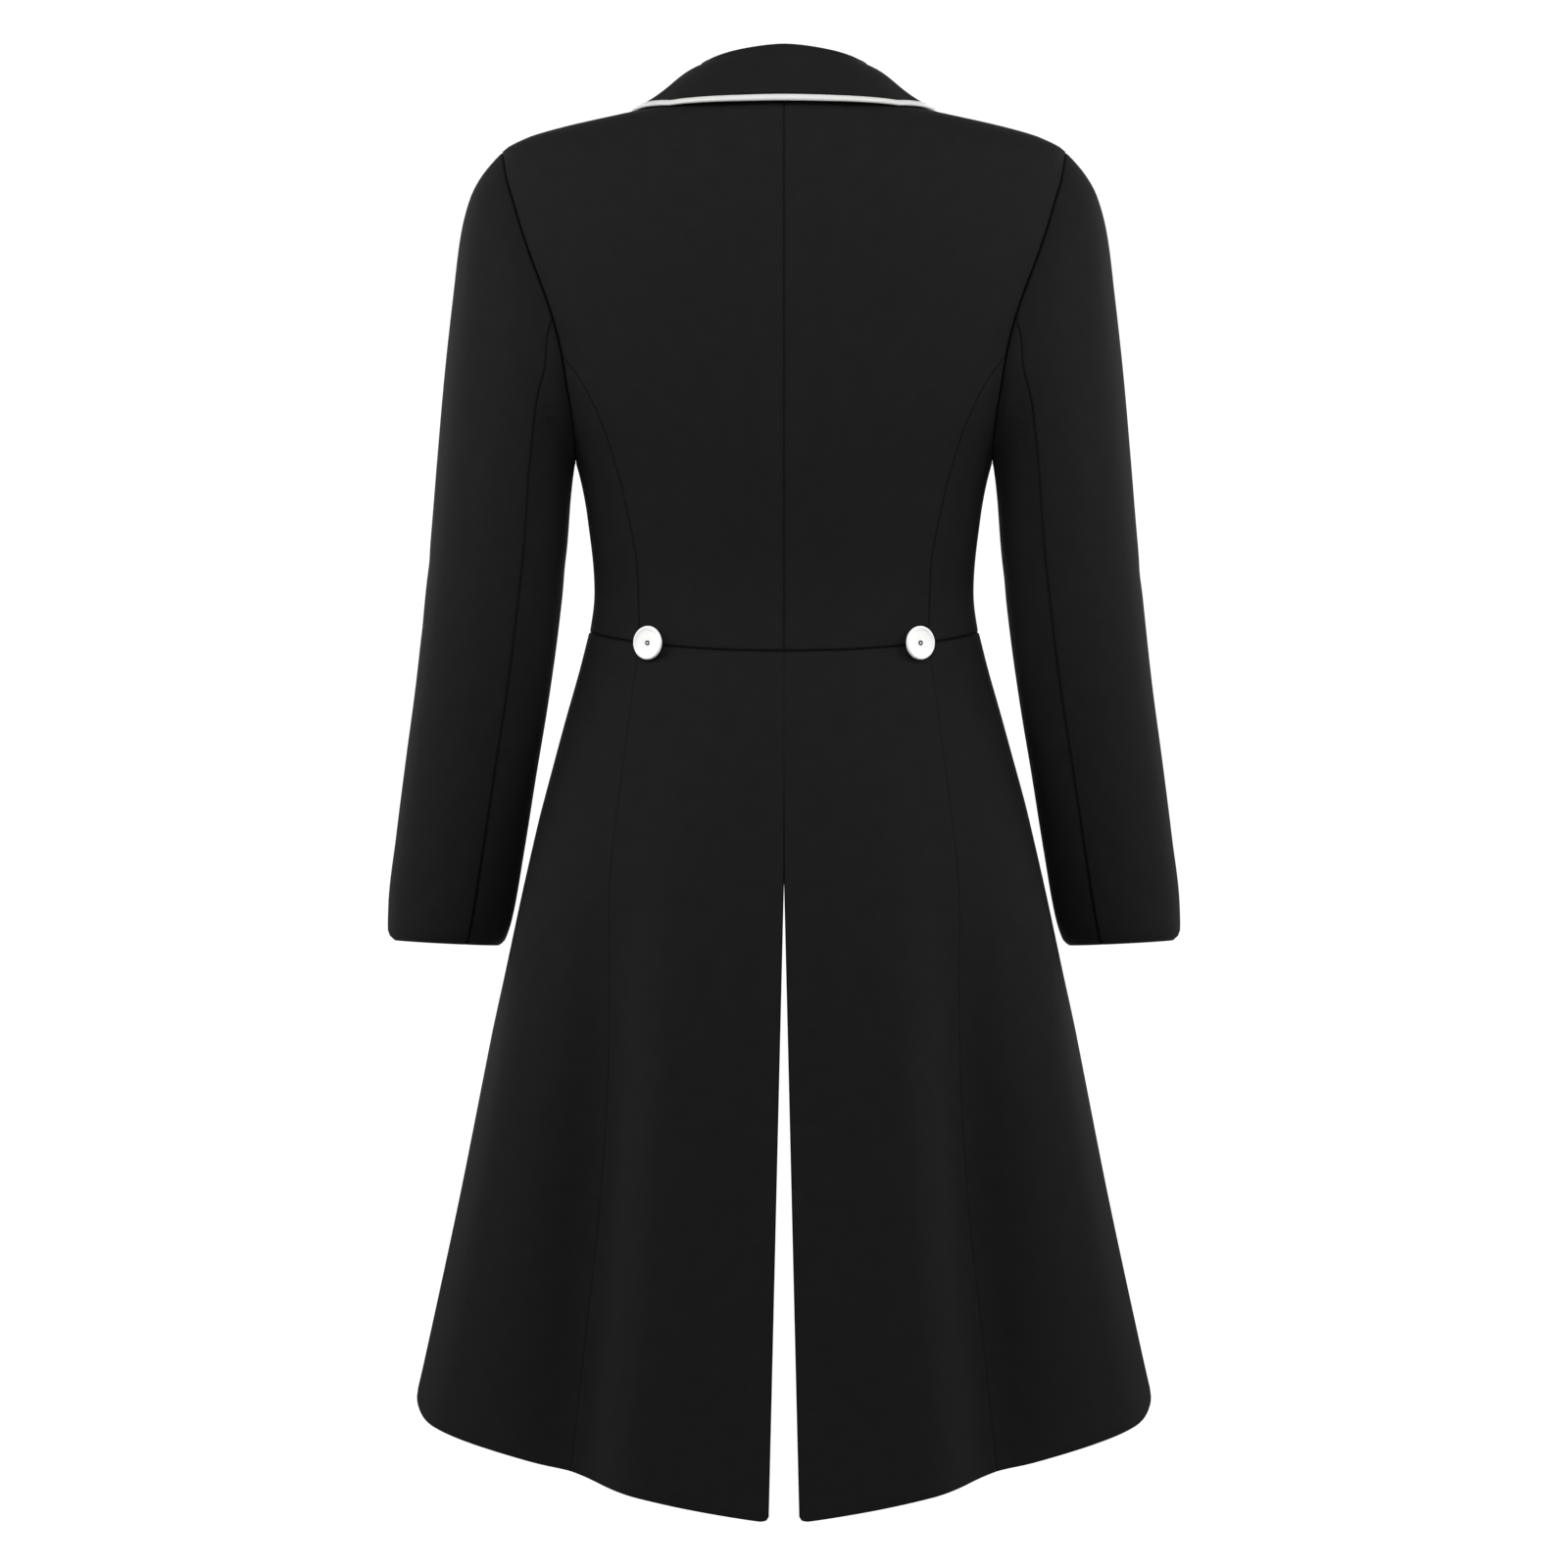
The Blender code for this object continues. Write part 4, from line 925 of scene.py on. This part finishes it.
def make_tail_back(side, tag):
    shares = np.linspace(0, 1, TAIL_BACK_COLUMNS)
    shares = np.concatenate([VENT_COLUMNS, shares[1:]])

    def line_at(down, levels):
        inner = angle_across(skirt_section, vent_across(levels[0]), levels[0])
        return inner + (pleat_angle(levels[-1]) - inner) * shares

    reach = (PLEAT[-1].across - VENT_HALF_GAP) * shares
    foot = hem_height(VENT_HALF_GAP + reach) + VENT_CORNER * corner_rise(1 - reach / VENT_CORNER_WIDTH)
    angles, levels = tail_grid(pleat_angle(PLEAT[0].height) * shares, foot, line_at)
    # Painted shade along the closed vent, growing from nothing to full down the slit
    slit_painted_shade = VENT_EDGE.shade * ease((VENT_PAINTED_SHADE_TOP - levels[:, 0]) / VENT_PAINTED_SHADE_RUN)
    edges = (WAIST_EDGE, FREE, VENT_EDGE._replace(shade=slit_painted_shade), SKIRT_EDGE)
    make_panel("tail_back_" + tag, skirt, angles, levels, edges, side)


def make_tail_side(side, tag):
    shares = np.linspace(0, 1, TAIL_SIDE_COLUMNS)

    def front_angle(down):
        spread = TAIL_FRONT_TOP - TAIL_FRONT_FOOT
        return math.radians(TAIL_FRONT_FOOT + spread * (1 - down) ** TAIL_FRONT_CURVE)

    def line_at(down, levels):
        inner = pleat_angle(levels[0])
        return inner + (front_angle(down) - inner) * shares

    top_inner = pleat_angle(PLEAT[0].height)
    top_angles = top_inner + (math.radians(TAIL_FRONT_TOP) - top_inner) * shares
    foot_inner = pleat_angle(PLEAT[-1].height)
    foot_angles = foot_inner + (front_angle(1.0) - foot_inner) * shares
    foot_levels = PLEAT[-1].height + (HEM[-1].height - PLEAT[-1].height) * shares
    foot_points = section_point(skirt_section, foot_angles, foot_levels)
    length = walked(foot_points)
    foot = hem_height(np.minimum(foot_points[:, 0], HEM[-1].across))
    foot = foot + HEM_CORNER_RISE * corner_rise(1 - (length[-1] - length) / HEM_CORNER_WIDTH)
    angles, levels = tail_grid(top_angles, foot, line_at)
    make_panel("tail_side_" + tag, skirt, angles, levels, (WAIST_EDGE, FREE, SKIRT_EDGE, FREE), side)


# Sleeves

def sleeve_points(turns):
    """Return rings of points down the sleeve; the first lies along the armhole."""
    spots = np.array([armhole_point(t) for t in turns])
    seam = body(spots[:, 0], spots[:, 1])
    around = turns + math.pi / 2
    straight = 0.5 - 0.5 * np.cos(around)
    low = body(math.pi / 2, UNDERARM)
    tip = body(math.pi / 2, SHOULDER_TIP)
    bow = seam[:, 0] - (low[0] + (tip[0] - low[0]) * straight)
    rings = [seam]
    for count, ring in enumerate(SLEEVE, start=1):
        skew = ARMHOLE_SKEW * (1 - ease(count / len(SLEEVE) * SLEEVE_SKEW_FADE))
        inner = np.array([ring.inner_x, 0.0, ring.inner_z])
        outer = np.array([ring.outer_x, 0.0, ring.outer_z])
        swung = around - SLEEVE_SWING * ease(count / SLEEVE_BLEND) * np.sin(around)
        ring_points = inner + (outer - inner) * (0.5 - 0.5 * np.cos(swung))[:, None]
        ring_points[:, 1] = ring.middle + ring.half_depth * np.sin(swung) * (1 + skew * np.cos(swung))
        ring_points[:, 0] += bow * max(0.0, 1 - count / SLEEVE_BLEND)
        rings.append(ring_points)
    rings = np.array(rings)
    length = walked(rings.mean(axis=1))
    return smooth_curve(length, rings)(np.linspace(0, length[-1], SLEEVE_ROWS))


def make_sleeve(side, tag):
    parts = [
        ("sleeve_top_", ELBOW_TURN, FORE_TURN, SLEEVE_TOP_COLUMNS),
        ("sleeve_under_", FORE_TURN, ELBOW_TURN + 2 * math.pi, SLEEVE_UNDER_COLUMNS),
    ]
    middles = sleeve_points(full_turn(RING_POINTS)).mean(axis=1)
    for name, start, stop, count in parts:
        points = sleeve_points(np.linspace(start, stop, count))
        normals = grid_normals(points)
        if ((points - middles[:, None]) * normals)[SLEEVE_ROWS // 2].sum() < 0:
            normals = -normals
        # Painted shade along the elbow seams, darker towards the cuff
        cuff_painted_shade = CUFF_PAINTED_SHADE * np.linspace(0, 1, len(points)) ** CUFF_PAINTED_SHADE_PACE
        elbow = ELBOW_EDGE._replace(shade=ELBOW_EDGE.shade + cuff_painted_shade)
        make_shell(name + tag, points, normals, (SLEEVE_HEAD, FREE, elbow, elbow), side)


# Collar, piping and lapels

def neck_line(shares):
    """Return the neck seam, round the back neck and down the front edge to the collar's end."""
    turn_share = 0.5
    spots = []
    for share in shares:
        if share <= turn_share:
            angle = math.pi / 2 * share / turn_share
            spots.append(body(angle, NAPE + (NECK_POINT - NAPE) * math.sin(angle)))
        else:
            level = NECK_POINT + (COLLAR_FOOT - NECK_POINT) * (share - turn_share) / (1 - turn_share)
            spots.append(body(front_edge_angle(level), level))
    return np.array(spots)


def collar_lines():
    """Return neck seam, fold and fall edge from the right front end round to the left."""
    table = np.array(COLLAR, float)
    whole = np.concatenate([table[:0:-1] * np.tile(MIRROR, 2), table])
    last = len(COLLAR) - 1
    spots = np.linspace(0, last, COLLAR_HALF)
    spots = np.concatenate([-spots[:0:-1], spots])
    lines = smooth_curve(np.arange(-last, last + 1), whole)(spots)
    half = neck_line(spots[COLLAR_HALF - 1:] / last)
    seam = np.concatenate([half[:0:-1] * MIRROR, half])
    return seam, lines[:, :3], lines[:, 3:]


def push_clear(points, clear):
    """Move points below the neck out along the body's slope until they lie this far off it."""
    points = points.copy()
    for _ in range(6):
        off, slope = distance_off(body_section, points)
        below_neck = ease((COLLAR_FREE - points[..., 2]) / COLLAR_FREE_RUN)
        points += slope * (np.maximum(clear - off, 0) * below_neck)[..., None]
    return points


def collar_sheet():
    """Return the collar's visible face: up the inside of the stand, over the fold, down the fall."""
    seam, fold, edge = collar_lines()
    along = unit(np.gradient(fold, axis=0))
    out = edge - seam
    out = unit(out - along * (out * along).sum(-1, keepdims=True))
    lift = unit(np.cross(out, along))
    lift = lift * np.where((lift * (fold - seam)).sum(-1, keepdims=True) < 0, -1, 1)
    foot = seam - out * WALL + lift * (SEAM + COLLAR_RAISE)
    middle = fold - lift * COLLAR_FOLD
    inside = middle - out * COLLAR_FOLD
    sheet = [foot + (inside - foot) * s for s in np.linspace(0, 1, COLLAR_STAND_COLUMNS)]
    for swing in COLLAR_FOLD_TURNS:
        sheet.append(middle + COLLAR_FOLD * (out * math.sin(swing) + lift * math.cos(swing)))
    outside = middle + unit(out + lift * COLLAR_SHOULDER) * COLLAR_FOLD
    edge = push_clear(edge, COLLAR_CLEAR)
    for s in np.linspace(0, 1, COLLAR_FALL_COLUMNS):
        row = outside + (edge - outside) * s + unit(out + lift) * COLLAR_PUFF * s * (1 - s) ** 3
        sheet.append(push_clear(row, COLLAR_CLEAR) if s > 0 else row)
    return np.stack(sheet, axis=1)


def make_collar():
    sheet = collar_sheet()
    normals = grid_normals(sheet)
    if normals[len(sheet) // 2, -2, 1] < 0:
        normals = -normals
    make_shell("collar", sheet, normals, (FREE, FREE, SEWN, FREE), held="folded")
    return sheet, normals


def make_piping(sheet, normals):
    """Make the white cord along the edge of the collar fall."""
    edge = sheet[:, -1]
    down = unit(edge - sheet[:, -2])
    out = normals[:, -1]
    centre = edge - out * WALL / 2 + down * (2 * SEAM + PIPING_HEIGHT / 2)
    centre = push_clear(centre, PIPING_DEPTH / 2 + LAYER)
    turns = full_turn(PIPING_SIDES)
    rings = []
    for turn in turns:
        high = down * PIPING_HEIGHT / 2 * math.cos(turn)
        deep = out * PIPING_DEPTH / 2 * math.sin(turn)
        rings.append(centre + high + deep)
    points = np.stack(rings, axis=1).reshape(-1, 3)
    faces = ring_faces(len(centre), PIPING_SIDES)
    length = walked(centre)
    grain = np.stack(np.broadcast_arrays(length[:, None], turns[None] * PIPING_HEIGHT / 2), axis=-1)
    piece = add_mesh("collar_cord", points, faces, [satin], grain=grain.reshape(-1, 2))
    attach(piece, "root")
    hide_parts("collar_piping")


def lapel_columns(share):
    """Return (distance beyond the roll line, lift off the front) across the facing and lapel."""
    width = float(lapel_width(share))
    within = -WALL - LAPEL_GAP - LAPEL_WALL
    upon = LAPEL_GAP + LAPEL_WALL
    roll = 0.5 * (upon - within)
    aside = 0.7 * roll
    rise = 0.35 * roll
    spots = [(FACING_DEPTH, within), (FACING_ROLL, within), (-aside, within + rise)]
    spots += [(-roll, 0.5 * (within + upon)), (-aside, upon - rise)]
    for step in LAPEL_STEPS:
        spots.append((width * step, upon + LAPEL_CROWN * math.sin(math.pi * step) * (1 - share)))
    return np.array(spots)


def lapel_place(share, column):
    """Return how far across and how high a point of the lapel lies, and its lift."""
    top = COLLAR_FOOT - LAYER
    level = top + (BREAK_POINT + LAPEL_END - top) * share
    spots = lapel_columns(share)
    beyond, lift = smooth_curve(np.arange(len(spots)), spots)(np.array([column]))[0]
    slant = LAPEL_SLANT * max(beyond, 0.0) * (1 - share)
    return float(front_edge_across(level)) + beyond, level - slant, lift


def under_share(column):
    """Return the share of the under lapel's column that shows above the other front's roll line."""
    low, high = 0.0, 1.0
    for _ in range(20):
        share = 0.5 * (low + high)
        across, level, _ = lapel_place(share, column)
        if across < LAPEL_TUCK - float(front_edge_across(level)):
            high = share
        else:
            low = share
    return low


def make_lapel(side, tag, over):
    """Make the facing that starts inside, rolls round the front edge and lies on the front."""
    surface = front_surface(over)
    spots = np.linspace(0, len(lapel_columns(0.0)) - 1, LAPEL_COLUMNS)
    ends = [1.0 if over else under_share(spot) for spot in spots]
    shares = np.linspace(0, 1, LAPEL_ROWS)
    places = np.array([[lapel_place(s * end, spot) for spot, end in zip(spots, ends)] for s in shares])
    across, level, lift = np.moveaxis(places, -1, 0)
    angle = angle_across(body_section, across, level, behind=False)
    points = surface(angle, level) + surface_normals(surface, angle, level) * lift[..., None]
    normals = grid_normals(points)
    if normals[0, -2, 1] > 0:
        normals = -normals
    make_shell("lapel_" + tag, points, normals, (THIN, THIN, THIN, THIN), side, LAPEL_WALL, "folded")


# Buttons and buttonholes

def button_axes(facing):
    """Return the directions across, up and out of a button's face."""
    facing = unit(np.asarray(facing, float))
    beside = unit(np.cross(facing, [0, 0, 1]))
    return np.stack([beside, np.cross(beside, facing), facing])


def tube(line, radius, sides):
    """Return points and faces of a closed-ended tube along a line."""
    ahead = unit(np.gradient(line, axis=0))
    beside = unit(np.cross(ahead, THREAD_SLANT))
    above = np.cross(ahead, beside)
    turns = full_turn(sides)[None, :, None]
    radius = np.broadcast_to(radius, len(line))[:, None, None]
    grid = line[:, None] + radius * (beside[:, None] * np.cos(turns) + above[:, None] * np.sin(turns))
    faces = [face[:1] + face[:0:-1] for face in ring_faces(len(line), sides)]
    return grid.reshape(-1, 3), faces


def joined(parts):
    """Return several (points, faces) as one."""
    points, faces, base = [], [], 0
    for part_points, part_faces in parts:
        points.append(part_points)
        faces += [[i + base for i in face] for face in part_faces]
        base += len(part_points)
    return np.concatenate(points), faces


def button_disc():
    """Return points and faces of a dished disc, in its own axes."""
    turns = full_turn(BUTTON_SIDES)
    points = []
    for row in BUTTON:
        ring = row.radius * BUTTON_DIAMETER / 2
        lift = np.full(BUTTON_SIDES, BUTTON_SHANK + row.height * BUTTON_THICKNESS)
        points.append(np.stack([ring * np.cos(turns), ring * np.sin(turns), lift], axis=-1))
    return np.concatenate(points), ring_faces(len(BUTTON), BUTTON_SIDES)


def cut_holes(piece, cutter):
    """Cut a piece's holes, take the cutter away, and keep the edges of the holes sharp."""
    cut = piece.modifiers.new("holes", "BOOLEAN")
    cut.operation = "DIFFERENCE"
    cut.solver = "EXACT"
    cut.object = cutter
    shown = piece.evaluated_get(bpy.context.evaluated_depsgraph_get())
    mesh = bpy.data.meshes.new_from_object(shown)
    piece.modifiers.clear()
    piece.data = mesh
    bpy.data.objects.remove(cutter)
    mesh.polygons.foreach_set("use_smooth", np.ones(len(mesh.polygons), bool))
    mesh.set_sharp_from_angle(angle=SHARP_EDGE)


def make_button(node, seat, facing):
    """Make a four-hole button with its sewing thread."""
    axes = button_axes(facing)
    points, faces = button_disc()
    piece = add_mesh("disc_" + node, points @ axes + seat, faces, [button_white])
    holes = np.array(HOLE_CORNERS) * HOLE_SPREAD / 2
    pins = []
    for x, y in holes:
        line = np.array([[x, y, level] for level in HOLE_LEVELS]) @ axes + seat
        pins.append(tube(line, HOLE_DIAMETER / 2, HOLE_SIDES))
    cut_holes(piece, add_mesh("pins_" + node, *joined(pins), [button_white]))
    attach(piece, "root")
    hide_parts(node)
    share = np.linspace(0, 1, THREAD_STEPS)
    top = BUTTON_SHANK + BUTTON_FACE * BUTTON_THICKNESS
    rise = top - THREAD_SINK + THREAD_RISE * np.sin(math.pi * share) ** THREAD_BEND
    stitches = []
    for (x0, y0), (x1, y1) in zip(holes, np.roll(holes, -1, axis=0)):
        line = np.stack([x0 + (x1 - x0) * share, y0 + (y1 - y0) * share, rise], axis=-1)
        stitches.append(tube(line @ axes + seat, THREAD_RADIUS, THREAD_SIDES))
    thread_piece = add_mesh("thread_" + node, *joined(stitches), [thread])
    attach(thread_piece, "root")


def waist_button_seat():
    """Return the seat and facing of a waist button, clear of the body above and the skirt below."""
    level = np.array(WAIST_BACK + BACK_BUTTON_RISE)
    angle = np.array(angle_across(body_section, BACK_BUTTON_ACROSS, level))
    facing = surface_normals(body, angle, level + BUTTON_REACH)
    facing = facing + surface_normals(skirt, angle, level - BUTTON_REACH)
    facing = unit(unit(facing * [1, 1, 0]) + [BUTTON_LEAN, 0, 0])
    axes = button_axes(facing)
    turns = full_turn(RING_POINTS)[:, None]
    rim = (axes[0] * np.cos(turns) + axes[1] * np.sin(turns)) * BUTTON_DIAMETER / 2
    seat = body(angle, level)
    for _ in range(4):
        rings = [seat + rim * row.radius + facing * row.height * BUTTON_THICKNESS for row in BUTTON_BACK]
        back = np.concatenate(rings)
        section = [body_section if p[2] > level else skirt_section for p in back]
        nearest = min(float(distance_off(s, p)[0]) for s, p in zip(section, back))
        seat = seat - facing * min(nearest, 0.0)
    return seat, facing


def make_buttons():
    seat, facing = waist_button_seat()
    for side, tag in SIDES:
        mirror = np.array([side, 1, 1])
        make_button("button_back_" + tag, seat * mirror, facing * mirror)
    surface = front_surface(True)
    centre = np.array(math.pi)
    for count, level in enumerate(FRONT_BUTTONS, start=1):
        height = np.array(level)
        facing = surface_normals(surface, centre, height) * MIRROR
        make_button("button_front_%d" % count, surface(centre, height) * MIRROR, facing)


def make_buttonholes():
    """Make the stitched end of each buttonhole that shows beside its button."""
    surface = front_surface(True)
    straight = np.linspace(BUTTONHOLE_START, BUTTONHOLE_END, BUTTONHOLE_STEPS)
    bend = np.radians(np.linspace(-90, 90, BUTTONHOLE_BEND_STEPS)[1:-1])
    round_end = BUTTONHOLE_END - BUTTONHOLE_HALF_WIDTH * np.cos(bend)
    across = np.concatenate([straight, round_end, straight[::-1]])
    edge = np.ones(BUTTONHOLE_STEPS)
    up = BUTTONHOLE_HALF_WIDTH * np.concatenate([-edge, np.sin(bend), edge])
    rings = []
    for level in FRONT_BUTTONS:
        height = up + level
        angle = angle_across(body_section, -across, height, behind=False)
        lift = surface_normals(surface, angle, height) * BUTTONHOLE_LIFT
        line = (surface(angle, height) + lift) * MIRROR
        bead = 1 + STITCH_SWELL * np.sin(walked(line) * STITCHES_PER_MM * 2 * math.pi)
        rings.append(tube(line, BUTTONHOLE_THREAD * bead, THREAD_SIDES))
    piece = add_mesh("buttonholes", *joined(rings), [thread])
    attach(piece, "root")


# Materials

def fill_inputs(tree, node, inputs):
    """Give a node's inputs their values or links."""
    for name, value in inputs.items():
        if isinstance(value, bpy.types.NodeSocket):
            tree.links.new(value, node.inputs[name])
        else:
            node.inputs[name].default_value = value


def add_node(tree, kind, inputs, **settings):
    """Add a shader node, with its settings and its inputs."""
    node = tree.nodes.new(kind)
    for name, value in settings.items():
        setattr(node, name, value)
    fill_inputs(tree, node, inputs)
    return node


def new_material(name, **values):
    """Return a material, its node tree and its shader, with constant values set on the shader."""
    material = bpy.data.materials.new(name)
    material.use_nodes = True
    tree = material.node_tree
    shader = tree.nodes["Principled BSDF"]
    fill_inputs(tree, shader, {socket.replace("_", " "): value for socket, value in values.items()})
    return material, tree, shader


def grain_place(tree):
    """Return a socket with the place on the cloth, in millimetres along its grain."""
    return add_node(tree, "ShaderNodeUVMap", {}, uv_map="grain").outputs["UV"]


def noise(tree, place, scale, detail, distortion=0.0):
    """Return a socket with a soft random cloud."""
    inputs = {"Vector": place, "Scale": scale, "Detail": detail, "Distortion": distortion}
    return add_node(tree, "ShaderNodeTexNoise", inputs).outputs["Fac"]


def bands(tree, place, scale, distortion, direction="DIAGONAL", detail=2.0):
    """Return a socket with wavy bands."""
    inputs = {"Vector": place, "Scale": scale, "Distortion": distortion, "Detail": detail}
    return add_node(tree, "ShaderNodeTexWave", inputs, bands_direction=direction).outputs["Fac"]


def reckon(tree, operation, first, second):
    """Return a socket with two values added or multiplied."""
    return add_node(tree, "ShaderNodeMath", {0: first, 1: second}, operation=operation).outputs[0]


def two_tone(tree, factor, low, high):
    """Return a colour socket that runs between two greys or colours."""
    ramp = add_node(tree, "ShaderNodeValToRGB", {"Fac": factor})
    ramp.color_ramp.elements[0].color = (*low, 1.0)
    ramp.color_ramp.elements[1].color = (*high, 1.0)
    return ramp.outputs["Color"]


def spread_value(tree, value, low, high):
    """Return a socket that maps 0..1 to low..high."""
    node = add_node(tree, "ShaderNodeMapRange", {"Value": value, "To Min": low, "To Max": high})
    return node.outputs["Result"]


def bump(tree, height, strength, distance):
    """Return a socket with the normals of a raised pattern."""
    inputs = {"Height": height, "Strength": strength, "Distance": distance}
    return add_node(tree, "ShaderNodeBump", inputs).outputs["Normal"]


def woven(name, dark, light, weave_depth, **values):
    """Make a fine twill: diagonal ribs over single threads, with slightly uneven yarn, and shade painted
    into its colour along the seams.
    """
    material, tree, shader = new_material(name, **values)
    grain = grain_place(tree)
    rib = bands(tree, grain, scale=0.52, distortion=0.6, detail=1.0)
    yarn = bands(tree, grain, scale=0.7, distortion=0.8, direction="X")
    uneven = noise(tree, grain, scale=0.06, detail=4.0)
    fuzz = noise(tree, grain, scale=1.9, detail=3.0)
    threads = reckon(tree, "MULTIPLY", rib, yarn)
    colour = two_tone(tree, reckon(tree, "ADD", threads, uneven), dark, light)
    # Painted seam shade: the seam attribute darkens the twill's colour down to a small share of it
    seam = add_node(tree, "ShaderNodeAttribute", {}, attribute_name="seam").outputs["Fac"]
    painted_shade_factor = spread_value(tree, seam, 1.0, PAINTED_SHADE_KEEP)
    seam_painted_colour = add_node(tree, "ShaderNodeVectorMath", {"Vector": colour, "Scale": painted_shade_factor}, operation="SCALE")
    fill_inputs(tree, shader, {
        "Base Color": seam_painted_colour.outputs["Vector"],
        "Roughness": spread_value(tree, uneven, 0.82, 0.96),
        "Normal": bump(tree, reckon(tree, "ADD", threads, fuzz), 0.5, weave_depth),
    })
    return material


def satin_cord(name, dark, light):
    """Make satin with a fine slanting wrap."""
    material, tree, shader = new_material(name, Sheen_Weight=0.25, Sheen_Roughness=0.4)
    grain = grain_place(tree)
    wrap = bands(tree, grain, scale=0.4, distortion=0.4)
    soil = noise(tree, grain, scale=0.15, detail=3.0)
    fill_inputs(tree, shader, {
        "Base Color": two_tone(tree, soil, dark, light),
        "Roughness": spread_value(tree, wrap, 0.38, 0.52),
        "Normal": bump(tree, wrap, 0.3, 0.0001),
    })
    return material


def plain(name, pattern, sizes, tones, roughness, **values):
    """Make a material whose colour and roughness follow one pattern in the object's own frame."""
    material, tree, shader = new_material(name, **values)
    place = add_node(tree, "ShaderNodeTexCoord", {}).outputs["Object"]
    factor = pattern(tree, place, **sizes)
    fill_inputs(tree, shader, {
        "Base Color": two_tone(tree, factor, *tones),
        "Roughness": spread_value(tree, factor, *roughness),
    })
    return material


def grey(value):
    return (value, value, value)


cloth = woven(
    "black_twill",
    (0.0072, 0.0072, 0.0073),
    (0.0120, 0.0120, 0.0121),
    0.00012,
    Specular_IOR_Level=0.04,
    Sheen_Weight=0.016,
    Sheen_Roughness=0.4,
)
cloth_inside = woven(
    "black_twill_inside",
    (0.0064, 0.0064, 0.0066),
    (0.0108, 0.0108, 0.0110),
    0.00008,
    Specular_IOR_Level=0.1,
    Sheen_Weight=0.016,
    Sheen_Roughness=0.5,
)
satin = satin_cord("white_satin", (0.55, 0.55, 0.54), (0.62, 0.62, 0.61))
button_white = plain(
    "white_button",
    noise,
    {"scale": 160.0, "detail": 3.0, "distortion": 1.2},
    ((0.89, 0.89, 0.88), (0.95, 0.95, 0.94)),
    (0.24, 0.36),
    Specular_IOR_Level=0.45,
    Coat_Weight=0.15,
    Coat_Roughness=0.12,
)
thread = plain(
    "black_thread",
    bands,
    {"scale": 500.0, "distortion": 0.5},
    (grey(0.006), grey(0.02)),
    (0.55, 0.75),
    Specular_IOR_Level=0.3,
    Sheen_Weight=0.2,
)

# The jacket
for side, tag in SIDES:
    over = tag == "right"
    make_back(side, tag)
    make_side(side, tag)
    make_front(side, tag, over)
    make_tail_back(side, tag)
    make_tail_side(side, tag)
    make_sleeve(side, tag)
    make_lapel(side, tag, over)
collar_points, collar_normals = make_collar()
make_piping(collar_points, collar_normals)
make_buttons()
make_buttonholes()


# Studio

def make_floor():
    """Make a round floor that the camera looks over."""
    turns = full_turn(FLOOR_SIDES)
    points = np.stack([np.cos(turns), np.sin(turns), np.full(FLOOR_SIDES, FLOOR / FLOOR_RADIUS)], axis=-1)
    sizes = {"scale": 1.5, "detail": 2.0}
    tones = (grey(0.86), grey(0.89))
    paint = plain("pale_floor", noise, sizes, tones, (0.7, 0.8), Specular_IOR_Level=0.1)
    floor = add_mesh("floor", points * FLOOR_RADIUS / METRES, [list(range(FLOOR_SIDES))], [paint])
    floor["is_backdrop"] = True


def make_world():
    """Light the scene faintly from all round, and show the camera a white backdrop."""
    world = bpy.data.worlds.new("studio")
    bpy.context.scene.world = world
    world.use_nodes = True
    tree = world.node_tree
    white = (1.0, 1.0, 1.0, 1.0)
    fill = tree.nodes["Background"]
    fill_inputs(tree, fill, {"Color": white, "Strength": FILL_LIGHT})
    backdrop = add_node(tree, "ShaderNodeBackground", {"Color": white, "Strength": BACKDROP_LIGHT})
    seen = add_node(tree, "ShaderNodeLightPath", {}).outputs["Is Camera Ray"]
    inputs = {"Fac": seen, 1: fill.outputs["Background"], 2: backdrop.outputs["Background"]}
    mix = add_node(tree, "ShaderNodeMixShader", inputs)
    fill_inputs(tree, tree.nodes["World Output"], {"Surface": mix.outputs["Shader"]})


def look_at(thing, place, aim):
    """Put a light or camera at a place, facing a point."""
    thing.location = place
    way = Vector(aim) - Vector(place)
    thing.rotation_euler = way.to_track_quat("-Z", "Y").to_euler()


def add_light(lamp):
    """Add a soft box at a place, turned towards a point."""
    soft_box = bpy.data.lights.new(lamp.name, "AREA")
    soft_box.shape = "RECTANGLE"
    soft_box.size = lamp.width
    soft_box.size_y = lamp.height
    soft_box.energy = lamp.power
    light = bpy.data.objects.new(lamp.name, soft_box)
    bpy.context.scene.collection.objects.link(light)
    light.visible_camera = False
    look_at(light, lamp.place, lamp.aim)


def make_lights():
    for lamp in LAMPS:
        add_light(lamp)
    for side, tag in SIDES:
        mirror = np.array([side, 1, 1])
        for lamp in SIDE_LAMPS:
            place = mirror * lamp.place
            aim = mirror * lamp.aim
            add_light(lamp._replace(name=lamp.name + tag, place=place, aim=aim))


def make_camera():
    lens = bpy.data.cameras.new("camera")
    lens.sensor_width = SENSOR
    lens.lens = SENSOR * CAMERA_DISTANCE / PICTURE_WIDTH
    camera = bpy.data.objects.new("camera", lens)
    bpy.context.scene.collection.objects.link(camera)
    look_at(camera, (0.0, CAMERA_DISTANCE, CAMERA_HEIGHT), (0.0, 0.0, CAMERA_HEIGHT))
    bpy.context.scene.camera = camera
    bpy.context.scene.view_settings.view_transform = "Standard"


make_floor()
make_world()
make_lights()
make_camera()

visual_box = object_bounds()
boxes = {"cad": cad_box, "visual": visual_box}
{name: [list(corner) for corner in box] for name, box in boxes.items()}
